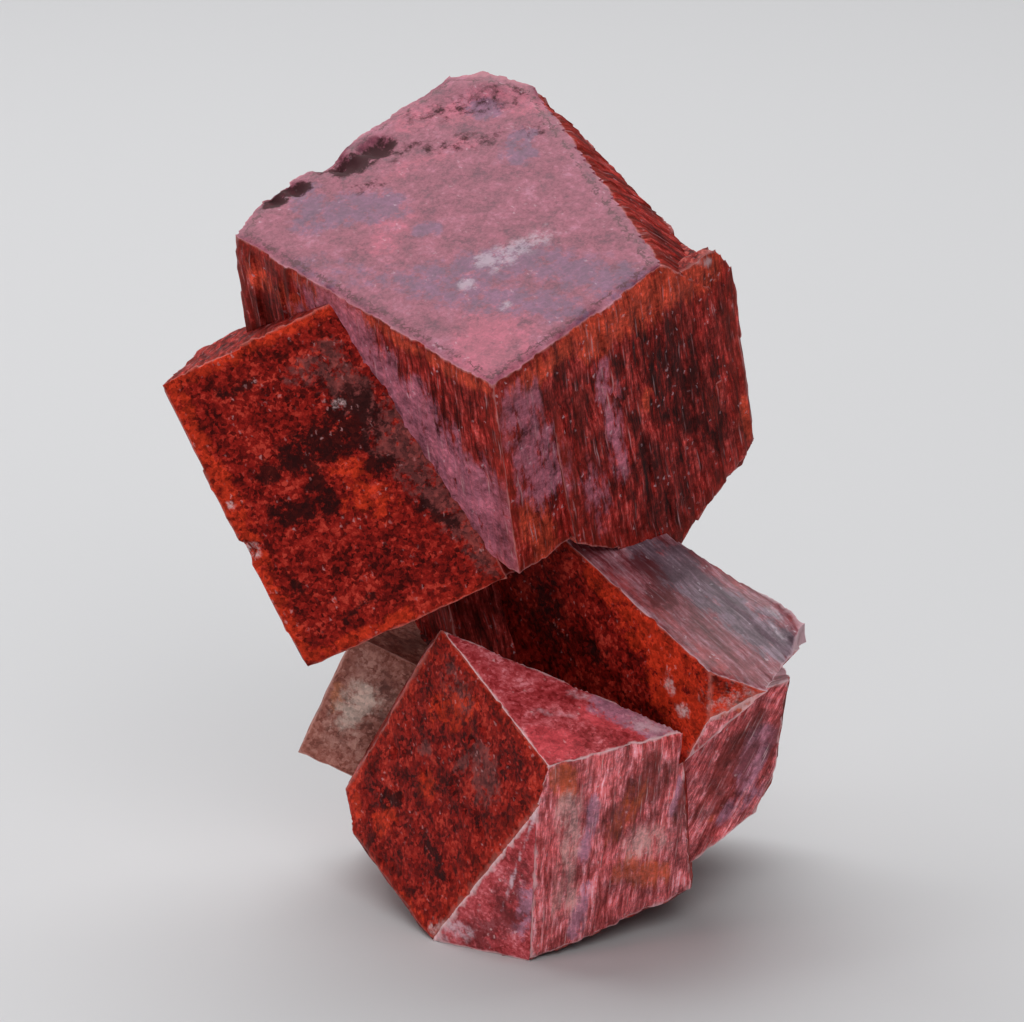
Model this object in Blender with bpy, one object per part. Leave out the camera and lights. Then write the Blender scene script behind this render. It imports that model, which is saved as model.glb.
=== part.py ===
"""A red apophyllite crystal cluster: blocky crystals grown through one another, on a flat broken foot.

Run with: blender --background --python part.py
Everything is worked out in millimetres and scaled to metres at the end.
The cluster stands on z = 0. X runs to its right, Y to its back and Z up.
"""
import math
import random

import bmesh
import bpy
from mathutils import Euler, Vector

# ---- Driving dimensions, in millimetres and degrees ----------------------------------------
MM = 0.001
MIDDLE = (-1.69, 7.42)           # what stands at the part's origin, in the crystals' own X and Y

# A block is told by its nearest top corner, how it leans and turns, and its width, depth, height.
CAP_CORNER = (-1.0, -7.1, 30.9)          # the big crystal on top
CAP_LEAN = (15.5, -22.0, 39.5)
SKIRT_LEAN = (12.0, -22.0, 39.5)         # later growth under the cap, tipped out a little
CAP_SIZE = (18.7, 19.9, 12.5)
WING_CORNER = (-17.4, 2.7, 28.8)         # the crystal that grows out to the left
WING_LEAN = (-3.0, -26.5, -8.5)
WING_SIZE = (11.5, 11.0, 16.3)
WING_SWELL = 0.35                        # how far its left side stands out at the top
KEEL_CORNER = (9.8, -4.4, 15.6)          # the long low crystal on the right
KEEL_LEAN = (26.0, -8.0, 41.0)
KEEL_SIZE = (6.4, 17.5, 10.0)
REAR_CORNER = (-6.2, 8.8, 27.5)          # the hidden crystal behind
REAR_LEAN = (-13.0, -10.0, 17.0)
REAR_SIZE = (11.5, 10.0, 19.0)
BUD_CORNER = (-8.2, 8.6, 13.8)           # the small pale crystal behind the foot, on the left
BUD_LEAN = (4.0, 25.0, -7.0)
BUD_SIZE = (8.0, 6.0, 7.4)
HEEL_CORNER = (-3.4, 5.8, 11.5)          # the low crystal at the back
HEEL_LEAN = (9.0, -7.0, 31.0)
HEEL_SIZE = (10.5, 8.5, 15.0)
CUB_CORNER = (3.6, 10.2, 13.0)           # the smaller crystal low on the right of the back
CUB_LEAN = (14.0, 13.0, -24.0)
CUB_SIZE = (7.5, 7.5, 9.5)

# The foot crystal is told by its corners, and its heart is a point well inside it.
FOOT_PEAK = (-3.6, 1.4, 16.2)
FOOT_BROW = (1.8, -6.7, 11.4)
FOOT_SHOULDER = (8.5, -2.1, 11.9)
FOOT_NOTCH = (1.4, -6.4, 9.4)
FOOT_TOE = (1.0, -3.3, 0.0)
FOOT_HEEL = (-4.2, 0.0, 0.0)
FOOT_KNEE = (-8.3, 6.2, 3.7)
FOOT_HIP = (-8.7, 7.0, 5.8)
FOOT_LIFT = (9.3, 2.9, 2.0)
FOOT_HEART = (1.0, 3.0, 6.0)

RIB_DEPTH = 0.22                # how far the growth lines of a large crystal step in and out
FINE_RIB_DEPTH = 0.15           # the same on the cap's ledge and shelf
BUD_RIB_DEPTH = 0.1             # and on the bud
RIB_FACET = 0.05                # how far along the face one step takes
RIB_STRAY = 0.3                 # how far a line strays from even spacing, as a share of it
BLANK_REACH = 14.0              # half the side of the cube that a crystal is cleaved from
CORNER_DIGITS = 4               # corners are kept to this many decimals of a millimetre
SEED = 11


# ---- Shapes ---------------------------------------------------------------------------------
def ribbed(start, end, count, depth, rng):
    """Corner points from start to just before end, stepped in and out like growth lines."""
    start = Vector(start)
    along = Vector(end) - start
    inward = Vector((-along.y, along.x)).normalized()
    points = [start]
    level = 0.0
    for step in range(1, count):
        place = start + along * (step + rng.uniform(-RIB_STRAY, RIB_STRAY)) / count
        points.append(place + inward * level)
        level = rng.uniform(0.0, depth)
        points.append(place + inward * level + along.normalized() * RIB_FACET)
    return points


def block(corner, lean, size, ribs=(0, 0, 0, 0), depth=RIB_DEPTH):
    """A crystal block hanging from its top face, with growth lines on its four prism faces.

    ribs counts the lines on the front, right, back and left face.
    """
    rng = random.Random(SEED + int(size[0] * 10))
    width, length, height = size
    corners = [(0, 0), (width, 0), (width, length), (0, length)]
    outline = []
    for side, count in enumerate(ribs):
        outline += ribbed(corners[side], corners[(side + 1) % 4], max(count, 1), depth, rng)
    mesh = bmesh.new()
    top = mesh.faces.new([mesh.verts.new((point.x, point.y, 0.0)) for point in outline])
    grown = bmesh.ops.extrude_face_region(mesh, geom=[top])
    lower = [item for item in grown["geom"] if isinstance(item, bmesh.types.BMVert)]
    bmesh.ops.translate(mesh, verts=lower, vec=(0.0, 0.0, -height))
    bmesh.ops.recalc_face_normals(mesh, faces=mesh.faces)
    place(mesh, corner, lean)
    return mesh


def turned(lean):
    """The rotation that a crystal's lean in degrees gives it."""
    return Euler([math.radians(angle) for angle in lean]).to_matrix()


def place(mesh, corner, lean):
    """Turn a mesh about its own origin and move it to its corner."""
    bmesh.ops.transform(mesh, matrix=turned(lean).to_4x4(), verts=mesh.verts)
    bmesh.ops.translate(mesh, verts=mesh.verts, vec=corner)


def spot(corner, lean, local):
    """A point given along a block's own width, depth and height, as a point of the cluster."""
    return Vector(corner) + turned(lean) @ Vector(local)


def cleave(mesh, first, second, third, heart):
    """Cut a mesh through three points, keeping the side that holds its heart."""
    first, second, third, heart = (Vector(point) for point in (first, second, third, heart))
    normal = (second - first).cross(third - first).normalized()
    if (heart - first).dot(normal) > 0.0:
        normal = -normal
    everything = mesh.verts[:] + mesh.edges[:] + mesh.faces[:]
    cut = bmesh.ops.bisect_plane(mesh, geom=everything, dist=0.0001, plane_co=first,
                                 plane_no=normal, clear_outer=True)
    rim = [item for item in cut["geom_cut"] if isinstance(item, bmesh.types.BMEdge)]
    bmesh.ops.contextual_create(mesh, geom=rim)
    return mesh


def blank(heart):
    """A plain cube about a heart, ready to be cleaved into a crystal."""
    mesh = bmesh.new()
    bmesh.ops.create_cube(mesh, size=2.0 * BLANK_REACH)
    bmesh.ops.translate(mesh, verts=mesh.verts, vec=heart)
    return mesh


# ---- The crystals ---------------------------------------------------------------------------
def cap_point(*local):
    return spot(CAP_CORNER, CAP_LEAN, local)


def cap():
    """The largest crystal, with its wide smooth top face and a steep cut along the right edge."""
    heart = cap_point(8.0, 8.0, -6.0)
    mesh = block(CAP_CORNER, CAP_LEAN, CAP_SIZE, ribs=(16, 10, 7, 9))
    steep_strip = ((11.9, 0.0, 0.0), (17.5, 13.9, 0.0), (17.4, 7.1, -3.0))
    right_face = ((16.4, 0.0, -3.0), (18.4, 14.0, -1.0), (15.7, 0.0, -13.0))
    back_corner = ((16.0, 19.9, 0.0), (17.7, 16.6, 0.0), (16.9, 19.3, -7.0))
    left_corner = ((0.0, 18.9, 0.0), (2.8, 19.9, 0.0), (0.4, 19.4, -7.0))
    for cut in (steep_strip, right_face, back_corner, left_corner):
        cleave(mesh, *[cap_point(*local) for local in cut], heart)
    return mesh


def cap_skirt():
    """The later growth under the right half of the cap, on the same axes."""
    heart = cap_point(10.0, 6.0, -11.0)
    mesh = block(cap_point(3.5, 0.15, -3.0), SKIRT_LEAN, (12.8, 12.0, 14.5), ribs=(9, 6, 4, 1))
    under_left = ((3.6, -1.0, -12.6), (8.4, -1.0, -16.6), (3.6, 9.0, -12.0))
    under_right = ((10.9, -1.0, -16.8), (16.1, -1.0, -14.2), (10.9, 9.0, -16.0))
    for cut in (under_left, under_right):
        cleave(mesh, *[cap_point(*local) for local in cut], heart)
    return mesh


def cap_ledge():
    """The upper of two rounded ledges on the cap's right end."""
    heart = cap_point(14.0, 1.0, -6.0)
    corner = cap_point(12.6, 0.05, -1.3)
    mesh = block(corner, CAP_LEAN, (3.9, 2.6, 7.8), ribs=(4, 1, 1, 1), depth=FINE_RIB_DEPTH)
    brow = ((15.5, 0.0, -1.3), (16.5, 0.0, -3.2), (15.5, 2.0, -1.6))
    chin = ((16.5, 0.0, -7.6), (15.8, 0.0, -8.6), (16.5, 2.0, -7.6))
    back = ((12.6, 2.6, -4.0), (16.5, 1.8, -4.0), (13.6, 1.0, -1.4))
    for cut in (brow, chin, back):
        cleave(mesh, *[cap_point(*local) for local in cut], heart)
    return mesh


def cap_shelf():
    """The lower, thicker ledge on the cap's right end."""
    heart = cap_point(14.5, 1.0, -12.0)
    corner = cap_point(13.2, -0.35, -8.9)
    mesh = block(corner, CAP_LEAN, (3.7, 4.4, 6.6), ribs=(4, 1, 1, 1), depth=FINE_RIB_DEPTH)
    brow = ((15.8, 0.0, -8.9), (17.0, 0.0, -10.3), (15.8, 3.0, -8.9))
    chin = ((17.0, 0.0, -13.2), (15.0, 0.0, -16.1), (17.0, 3.0, -13.2))
    front_edge = ((16.1, -0.4, -10.0), (17.0, 0.7, -10.0), (16.1, -0.4, -14.0))
    for cut in (brow, chin, front_edge):
        cleave(mesh, *[cap_point(*local) for local in cut], heart)
    return mesh


def wing_point(*local):
    return spot(WING_CORNER, WING_LEAN, local)


def wing():
    """The crystal that grows out of the cap's left side."""
    heart = wing_point(5.0, 5.0, -8.0)
    width, depth, height = WING_SIZE
    wide = (width + WING_SWELL, depth, height)
    mesh = block(wing_point(-WING_SWELL, 0.0, 0.0), WING_LEAN, wide, ribs=(1, 1, 6, 7))
    back_corner = ((-0.1, 9.0, 0.0), (3.0, 11.1, 0.0), (0.6, 9.0, -9.0))
    lower_left = ((-WING_SWELL, 0.0, -6.0), (-WING_SWELL, 5.0, -6.0), (-0.1, 0.0, -height))
    for cut in (back_corner, lower_left):
        cleave(mesh, *[wing_point(*local) for local in cut], heart)
    return mesh


def keel_point(*local):
    return spot(KEEL_CORNER, KEEL_LEAN, local)


def keel():
    """The long crystal on the right, a ridge that runs up under the cap."""
    heart = keel_point(3.0, 6.0, -4.0)
    mesh = block(keel_point(0.0, -2.4, 0.0), KEEL_LEAN, KEEL_SIZE, ribs=(1, 9, 1, 1))
    end_left = ((0.0, 0.0, 0.0), (1.7, -2.4, 0.0), (0.0, -0.7, -2.4))
    end_below = ((1.7, -2.4, -0.2), (0.0, -0.7, -2.8), (0.0, 0.0, -6.4))
    end_right = ((3.3, -2.4, 0.0), (6.2, 0.2, 0.0), (4.4, -1.9, -3.0))
    end_slope = ((1.7, -2.4, -0.1), (6.2, 0.2, -1.0), (-0.5, -0.8, -5.1))
    far_side = ((6.5, 3.4, 0.0), (5.7, 7.0, 0.0), (6.4, 7.0, -6.0))
    for cut in (end_left, end_below, end_right, end_slope, far_side):
        cleave(mesh, *[keel_point(*local) for local in cut], heart)
    return mesh


def foot():
    """The crystal the cluster stands on, with a three-cornered top face."""
    heart = Vector(FOOT_HEART)
    mesh = blank(heart)
    cleave(mesh, FOOT_PEAK, FOOT_BROW, FOOT_HEEL, heart)
    cleave(mesh, FOOT_PEAK, FOOT_BROW, FOOT_SHOULDER, heart)
    cleave(mesh, FOOT_BROW, FOOT_SHOULDER, FOOT_TOE, heart)
    cleave(mesh, FOOT_NOTCH, FOOT_HEEL, FOOT_TOE, heart)
    cleave(mesh, FOOT_PEAK, FOOT_SHOULDER, (2.0, 5.5, 9.5), heart)
    cleave(mesh, FOOT_SHOULDER, FOOT_LIFT, (8.6, 12.0, 7.0), heart)
    cleave(mesh, FOOT_TOE, FOOT_LIFT, (2.5, 9.0, 0.0), heart)
    cleave(mesh, FOOT_HEEL, FOOT_KNEE, (-6.0, 9.0, 0.5), heart)
    cleave(mesh, FOOT_KNEE, FOOT_HIP, (-8.2, 12.0, 4.0), heart)
    cleave(mesh, FOOT_HIP, FOOT_PEAK, (-7.5, 12.0, 6.5), heart)
    cleave(mesh, (-4.0, 12.5, 0.0), (4.0, 13.5, 0.0), (-4.0, 12.0, 10.0), heart)
    return mesh


def spur():
    """The flat crystal that fills the corner below the keel's end."""
    heart = Vector((10.5, 4.5, 7.5))
    high, right, low = Vector((14.2, 3.6, 12.9)), Vector((13.5, 3.5, 7.8)), Vector((12.5, 3.0, 5.8))
    foot_end, inner = Vector((9.6, 2.26, 3.66)), Vector((8.2, -0.7, 11.5))
    back, tuck = Vector((0.6, 7.0, 0.0)), Vector((-0.8, 0.0, 0.0))
    mesh = blank(heart)
    cleave(mesh, high, right, foot_end, heart)
    cleave(mesh, high, inner, high + back, heart)
    cleave(mesh, high, right, right + Vector((-0.6, 5.0, -0.6)), heart)
    cleave(mesh, right, low, low + back, heart)
    cleave(mesh, low, foot_end, foot_end + Vector((-1.0, 6.0, 1.0)), heart)
    cleave(mesh, (0.0, 10.5, 5.0), (12.0, 9.5, 5.0), (6.0, 10.0, 12.0), heart)
    cleave(mesh, inner + tuck, foot_end + tuck, foot_end + tuck + Vector((-1.5, 8.0, 0.0)), heart)
    return mesh


def bud():
    """The small pale crystal behind the foot, on the left."""
    return block(BUD_CORNER, BUD_LEAN, BUD_SIZE, ribs=(3, 1, 3, 3), depth=BUD_RIB_DEPTH)


def rear():
    """The crystal behind, grown into the cap, the wing and the keel."""
    heart = Vector((1.0, 12.0, 18.0))
    mesh = block(REAR_CORNER, REAR_LEAN, REAR_SIZE, ribs=(1, 9, 10, 8))
    back_corner = ((11.5, 7.0, -4.0), (7.5, 10.0, -4.0), (11.5, 8.5, -16.0))
    return cleave(mesh, *[spot(REAR_CORNER, REAR_LEAN, local) for local in back_corner], heart)


def heel():
    """The low crystal at the back that the cluster leans on."""
    return block(HEEL_CORNER, HEEL_LEAN, HEEL_SIZE, ribs=(1, 7, 8, 6))


def cub():
    """A smaller crystal low on the right of the back."""
    return block(CUB_CORNER, CUB_LEAN, CUB_SIZE, ribs=(1, 6, 7, 5))


def hollow(centre, radii):
    """The cutter for a small hollow: a coarse ball squashed to its three radii."""
    mesh = bmesh.new()
    bmesh.ops.create_icosphere(mesh, subdivisions=2, radius=1.0)
    bmesh.ops.scale(mesh, verts=mesh.verts, vec=radii)
    bmesh.ops.translate(mesh, verts=mesh.verts, vec=centre)
    return mesh


# ---- Putting the cluster together -----------------------------------------------------------
def in_order(mesh):
    """The same shape, its corners rounded and everything listed in one order, so every run is alike."""
    for vert in mesh.verts:
        vert.co = [round(value, CORNER_DIGITS) for value in vert.co]
    listed = sorted(mesh.verts, key=lambda vert: tuple(vert.co))
    rank = {vert: number for number, vert in enumerate(listed)}
    rings = []
    for face in mesh.faces:
        ring = [rank[vert] for vert in face.verts]
        first = ring.index(min(ring))
        rings.append(ring[first:] + ring[:first])
    ordered = bmesh.new()
    corners = [ordered.verts.new(vert.co) for vert in listed]
    for ring in sorted(rings):
        ordered.faces.new([corners[number] for number in ring])
    mesh.free()
    return ordered


def to_object(name, mesh):
    """Make a scene object of a mesh."""
    data = bpy.data.meshes.new(name)
    mesh = in_order(mesh)
    mesh.to_mesh(data)
    mesh.free()
    thing = bpy.data.objects.new(name, data)
    bpy.context.scene.collection.objects.link(thing)
    return thing


def combine(body, tool, operation):
    """Apply one Boolean to the body and clear the tool away."""
    step = body.modifiers.new(operation, 'BOOLEAN')
    step.operation = operation
    step.object = tool
    step.solver = 'EXACT'
    bpy.context.view_layer.update()
    seen = body.evaluated_get(bpy.context.evaluated_depsgraph_get())
    data = bpy.data.meshes.new_from_object(seen)
    body.modifiers.clear()
    body.data = data
    bpy.data.objects.remove(tool)


def crystal_red():
    material = bpy.data.materials.new("crystal_red")
    material.use_nodes = True
    surface = material.node_tree.nodes["Principled BSDF"]
    surface.inputs["Base Color"].default_value = (0.33, 0.035, 0.025, 1.0)
    surface.inputs["Roughness"].default_value = 0.35
    surface.inputs["Metallic"].default_value = 0.0
    return material


for old in list(bpy.data.objects):
    bpy.data.objects.remove(old)

cluster = to_object("crystal_cluster", cap())
for grow in (cap_skirt, cap_ledge, cap_shelf, wing, keel, foot, spur, bud, rear, heel, cub):
    combine(cluster, to_object("grown", grow()), 'UNION')

hollows = [
    (cap_point(8.8, 18.1, 0.1), (1.5, 0.9, 0.45)),       # crater in the cap's top face
    (cap_point(3.6, 19.0, 0.1), (0.9, 0.8, 0.5)),        # notch in the cap's back left edge
    (cap_point(10.3, 17.9, 0.1), (0.6, 0.5, 0.3)),       # small pit beside the crater
    (Vector((10.0, 1.15, 6.2)), (0.75, 0.5, 0.6)),       # pit in the spur
    (wing_point(-0.1, 0.1, -9.6), (0.4, 0.7, 0.5)),      # chip in the wing's left edge
]
for centre, radii in hollows:
    combine(cluster, to_object("hollow", hollow(centre, radii)), 'DIFFERENCE')

finish = bmesh.new()
finish.from_mesh(cluster.data)
cleave(finish, (0, 0, 0), (1, 0, 0), (0, 1, 0), (0, 0, 1))
finish = in_order(finish)
bmesh.ops.translate(finish, verts=finish.verts, vec=(-MIDDLE[0], -MIDDLE[1], 0.0))
bmesh.ops.scale(finish, verts=finish.verts, vec=(MM, MM, MM))
finish.to_mesh(cluster.data)
finish.free()
cluster.data.materials.clear()
cluster.data.materials.append(crystal_red())
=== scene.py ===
# %% [markdown]
# A cluster of red apophyllite crystals. Several square blocks grew through one another, so the
# real thing is one piece of rock with no joints. Its faces differ in kind: the flat ends of the
# blocks are smooth and pearly, two sides carry fine parallel growth lines, and others are
# grainy and dark. We could sculpt all that by hand, but a crystal is simple geometry, so here
# each block is cut by planes, its faces are divided into fine grids and given relief, and a
# Boolean union grows the blocks together into one skin.

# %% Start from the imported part
import math

import bmesh
import bpy
import numpy as np
from mathutils import Euler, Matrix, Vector


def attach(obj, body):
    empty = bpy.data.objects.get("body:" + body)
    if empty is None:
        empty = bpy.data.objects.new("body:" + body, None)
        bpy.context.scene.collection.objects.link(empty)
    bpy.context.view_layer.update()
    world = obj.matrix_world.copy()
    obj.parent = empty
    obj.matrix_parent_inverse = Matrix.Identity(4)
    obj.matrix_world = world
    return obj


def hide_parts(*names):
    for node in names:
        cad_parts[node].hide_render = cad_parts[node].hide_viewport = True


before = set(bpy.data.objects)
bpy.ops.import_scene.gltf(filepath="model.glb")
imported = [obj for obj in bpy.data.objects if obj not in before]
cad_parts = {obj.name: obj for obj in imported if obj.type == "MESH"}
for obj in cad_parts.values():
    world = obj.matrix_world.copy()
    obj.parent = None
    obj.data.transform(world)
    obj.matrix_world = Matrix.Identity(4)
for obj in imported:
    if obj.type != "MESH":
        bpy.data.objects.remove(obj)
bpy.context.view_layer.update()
MM = 0.001
MIDDLE = Vector((-1.69, 7.42, 0.0))      # what stands at the part's origin, in millimetres

# %% [markdown]
# Shape matters more than colour in a crystal, so we start from measures. They are the same as in
# the part's source, in millimetres and degrees. A block is told by its nearest top corner, how it
# leans and turns, and its width, depth and height. Its own X runs along the width, Y along the
# depth, and Z up from the top face.

# %% The crystals' sizes
CAP = ((-1.0, -7.1, 30.9), (15.5, -22.0, 39.5), (18.7, 19.9, 12.5))
SKIRT_LEAN = (12.0, -22.0, 39.5)
WING = ((-17.4, 2.7, 28.8), (-3.0, -26.5, -8.5), (11.5, 11.0, 16.3))
WING_SWELL = 0.35               # how far its left side stands out at the top
KEEL = ((9.8, -4.4, 15.6), (26.0, -8.0, 41.0), (6.4, 17.5, 10.0))
KEEL_END = 2.4                  # how far its near end is drawn out before it is cleaved
REAR = ((-6.2, 8.8, 27.5), (-13.0, -10.0, 17.0), (11.5, 10.0, 19.0))
BUD = ((-8.2, 8.6, 13.8), (4.0, 25.0, -7.0), (8.0, 6.0, 7.4))
HEEL = ((-3.4, 5.8, 11.5), (9.0, -7.0, 31.0), (10.5, 8.5, 15.0))
CUB = ((3.6, 10.2, 13.0), (14.0, 13.0, -24.0), (7.5, 7.5, 9.5))
BACK_COARSENESS = 1.6           # the crystals at the back get a coarser grid

# %% [markdown]
# Every face gets a finish, and each finish asks for its own grid. Growth lines need many narrow
# cells across them and few along them. Grain needs square cells. Faces nobody sees stay coarse.

# %% The finishes and their grids
FINISHES = ["pearly_end", "growth_lined", "pink_streaked", "dark_grain", "silky_side", "frosted_red",
            "cream_bud", "rough_back"]
GRID = {                       # cell size across and along, in millimetres
    "pearly_end": (0.22, 0.22),
    "growth_lined": (0.15, 0.55),
    "pink_streaked": (0.15, 0.55),
    "dark_grain": (0.2, 0.2),
    "silky_side": (0.17, 0.4),
    "frosted_red": (0.2, 0.2),
    "cream_bud": (0.25, 0.25),
    "rough_back": (0.5, 0.5),
}


def turned(lean):
    """The rotation that a crystal's lean in degrees gives it."""
    return Euler([math.radians(angle) for angle in lean]).to_matrix()


def spot(crystal, *local):
    """A point along a block's own width, depth and height, as a point of the cluster."""
    corner, lean = crystal[0], crystal[1]
    return Vector(corner) + turned(lean) @ Vector(local)


# %% [markdown]
# A crystal starts as a closed box and is cleaved by planes, as a real one splits. Blender's
# bisect tool cuts the mesh, and the open rim is filled again. Each face keeps a number, its
# side, so that later steps know which finish it has and in which direction its lines run.

# %% Cutting a crystal
ON_CUT = 0.0001                 # a corner this close to a cut, in millimetres, lies on it


class Crystal:
    """A convex crystal: its mesh, and for each side a finish and the direction of its lines."""

    def __init__(self, name, heart):
        self.name = name
        self.heart = Vector(heart)
        self.mesh = bmesh.new()
        self.side = self.mesh.faces.layers.int.new("side")
        self.sides = []
        self.coarseness = 1.0

    def side_for(self, finish, along):
        self.sides.append((finish, Vector(along).normalized()))
        return len(self.sides) - 1

    def cut(self, points, finish, along):
        """Cleave through three points and keep the side that holds the heart."""
        first, second, third = (Vector(point) for point in points)
        normal = (second - first).cross(third - first).normalized()
        if (self.heart - first).dot(normal) > 0.0:
            normal = -normal
        mesh = self.mesh
        everything = mesh.verts[:] + mesh.edges[:] + mesh.faces[:]
        split = bmesh.ops.bisect_plane(mesh, geom=everything, dist=ON_CUT, plane_co=first,
                                       plane_no=normal, clear_outer=True)
        rim = [item for item in split["geom_cut"] if isinstance(item, bmesh.types.BMEdge)]
        number = self.side_for(finish, along)
        for face in bmesh.ops.contextual_create(mesh, geom=rim)["faces"]:
            face[self.side] = number
        return self

    def in_order(self):
        """List corners and faces in one fixed order, so that every run gives the same mesh."""
        for vert in self.mesh.verts:
            vert.co = [round(value, 4) for value in vert.co]
        listed = sorted(self.mesh.verts, key=lambda vert: tuple(vert.co))
        rank = {vert: number for number, vert in enumerate(listed)}
        rings = []
        for face in self.mesh.faces:
            ring = [rank[vert] for vert in face.verts]
            first = ring.index(min(ring))
            rings.append((ring[first:] + ring[:first], face[self.side]))
        ordered = bmesh.new()
        side = ordered.faces.layers.int.new("side")
        corners = [ordered.verts.new(vert.co) for vert in listed]
        for ring, number in sorted(rings):
            ordered.faces.new([corners[place] for place in ring])[side] = number
        self.mesh.free()
        self.mesh, self.side = ordered, side


def block(name, crystal, finishes):
    """A crystal block. The finishes are those of its top, bottom, front, right, back and left."""
    width, depth, height = crystal[2]
    made = Crystal(name, spot(crystal, width / 2, depth / 2, -height / 2))
    lean = turned(crystal[1])
    back, up = lean.col[1], lean.col[2]
    corners = [spot(crystal, x, y, z)
               for z in (-height, 0.0) for x, y in ((0, 0), (width, 0), (width, depth), (0, depth))]
    verts = [made.mesh.verts.new(corner) for corner in corners]
    rings = ((4, 5, 6, 7), (3, 2, 1, 0), (0, 1, 5, 4), (1, 2, 6, 5), (2, 3, 7, 6), (3, 0, 4, 7))
    lines = (back, back, up, up, up, up)
    for ring, finish, along in zip(rings, finishes, lines):
        face = made.mesh.faces.new([verts[number] for number in ring])
        face[made.side] = made.side_for(finish, along)
    return made


def cube(name, heart, reach=14.0):
    """A plain cube about a heart, ready to be cleaved."""
    made = Crystal(name, heart)
    bmesh.ops.create_cube(made.mesh, size=2.0 * reach)
    bmesh.ops.translate(made.mesh, verts=made.mesh.verts, vec=heart)
    number = made.side_for("rough_back", (0, 0, 1))
    for face in made.mesh.faces:
        face[made.side] = number
    return made


# %% [markdown]
# The cap is the big block on top. Its wide end is pearly, its two front sides carry growth lines
# and its right edge is cut off by a steep narrow face. Later growth hangs under it, and two
# rounded ledges stand on its right end. They are all told in the cap's own millimetres.

# %% The cap and its later growth
LINED_SIDES = ("growth_lined",) * 4
LINED_BLOCK = ("rough_back", "rough_back") + LINED_SIDES


def cleave(made, crystal, finish, *cuts):
    """Cut by planes, each told by three points in a block's own millimetres."""
    for points in cuts:
        made.cut([spot(crystal, *point) for point in points], finish, turned(crystal[1]).col[2])
    return made


def cap():
    made = block("cap", CAP, ("pearly_end", "rough_back") + LINED_SIDES)
    return cleave(made, CAP, "growth_lined",
                  ((11.9, 0, 0), (17.5, 13.9, 0), (17.4, 7.1, -3.0)),
                  ((16.4, 0, -3.0), (18.4, 14.0, -1.0), (15.7, 0, -13.0)),
                  ((16.0, 19.9, 0), (17.7, 16.6, 0), (16.9, 19.3, -7.0)),
                  ((0, 18.9, 0), (2.8, 19.9, 0), (0.4, 19.4, -7.0)))


def cap_part(name, lean, size, corner, finish, *cuts):
    """Later growth on the cap, by its nearest top corner, its size and its cuts."""
    return cleave(block(name, (spot(CAP, *corner), lean, size), LINED_BLOCK), CAP, finish, *cuts)


def cap_skirt():
    return cap_part("cap_skirt", SKIRT_LEAN, (12.8, 12.0, 14.5), (3.5, 0.15, -3.0), "dark_grain",
                    ((3.6, -1.0, -12.6), (8.4, -1.0, -16.6), (3.6, 9.0, -12.0)),
                    ((10.9, -1.0, -16.8), (16.1, -1.0, -14.2), (10.9, 9.0, -16.0)))


def cap_ledge():
    return cap_part("cap_ledge", CAP[1], (3.9, 2.6, 7.8), (12.6, 0.05, -1.3), "growth_lined",
                    ((15.5, 0, -1.3), (16.5, 0, -3.2), (15.5, 2.0, -1.6)),
                    ((16.5, 0, -7.6), (15.8, 0, -8.6), (16.5, 2.0, -7.6)),
                    ((12.6, 2.6, -4.0), (16.5, 1.8, -4.0), (13.6, 1.0, -1.4)))


def cap_shelf():
    return cap_part("cap_shelf", CAP[1], (3.7, 4.4, 6.6), (13.2, -0.35, -8.9), "growth_lined",
                    ((15.8, 0, -8.9), (17.0, 0, -10.3), (15.8, 3.0, -8.9)),
                    ((17.0, 0, -13.2), (15.0, 0, -16.1), (17.0, 3.0, -13.2)),
                    ((16.1, -0.4, -10.0), (17.0, 0.7, -10.0), (16.1, -0.4, -14.0)))


# %% [markdown]
# The wing grows out to the left with one large grainy face to the front. The keel is the long
# block on the right. Its upper side is silky, and its left side is grainy with a painted orange
# glow, as if light came through it. Its near end is drawn out beyond the square block and then
# cleaved to a narrow, slanting face.

# %% The wing and the keel
def wing():
    width, depth, height = WING[2]
    wide = (spot(WING, -WING_SWELL, 0, 0), WING[1], (width + WING_SWELL, depth, height))
    made = block("wing", wide, ("growth_lined", "rough_back", "dark_grain") + LINED_SIDES[1:])
    return cleave(made, WING, "growth_lined",
                  ((-0.1, 9.0, 0), (3.0, 11.1, 0), (0.6, 9.0, -9.0)),
                  ((-WING_SWELL, 0, -6.0), (-WING_SWELL, 5.0, -6.0), (-0.1, 0, -height)))


def keel():
    drawn_out = (spot(KEEL, 0, -KEEL_END, 0), KEEL[1], KEEL[2])
    made = block("keel", drawn_out, ("silky_side", "rough_back") + LINED_SIDES[1:] + ("dark_grain",))
    made.heart = spot(KEEL, 3.0, 6.0, -4.0)
    for finish, *points in (
            ("dark_grain", (0, 0, 0), (1.7, -2.4, 0), (0, -0.7, -2.4)),
            ("pink_streaked", (1.7, -2.4, -0.2), (0, -0.7, -2.8), (0, 0, -6.4)),
            ("silky_side", (3.3, -2.4, 0), (6.2, 0.2, 0), (4.4, -1.9, -3.0)),
            ("pink_streaked", (1.7, -2.4, -0.1), (6.2, 0.2, -1.0), (-0.5, -0.8, -5.1)),
            ("silky_side", (6.5, 3.4, 0), (5.7, 7.0, 0), (6.4, 7.0, -6.0))):
        cleave(made, KEEL, finish, points)
    return made


# %% [markdown]
# The foot is the crystal that the cluster stands on. It isn't square to anything, so it is cut
# from a cube by planes through its corners, told in the cluster's own axes. The spur is cut the
# same way. The bud is a small pale block, and three plain blocks finish the back.

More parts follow.
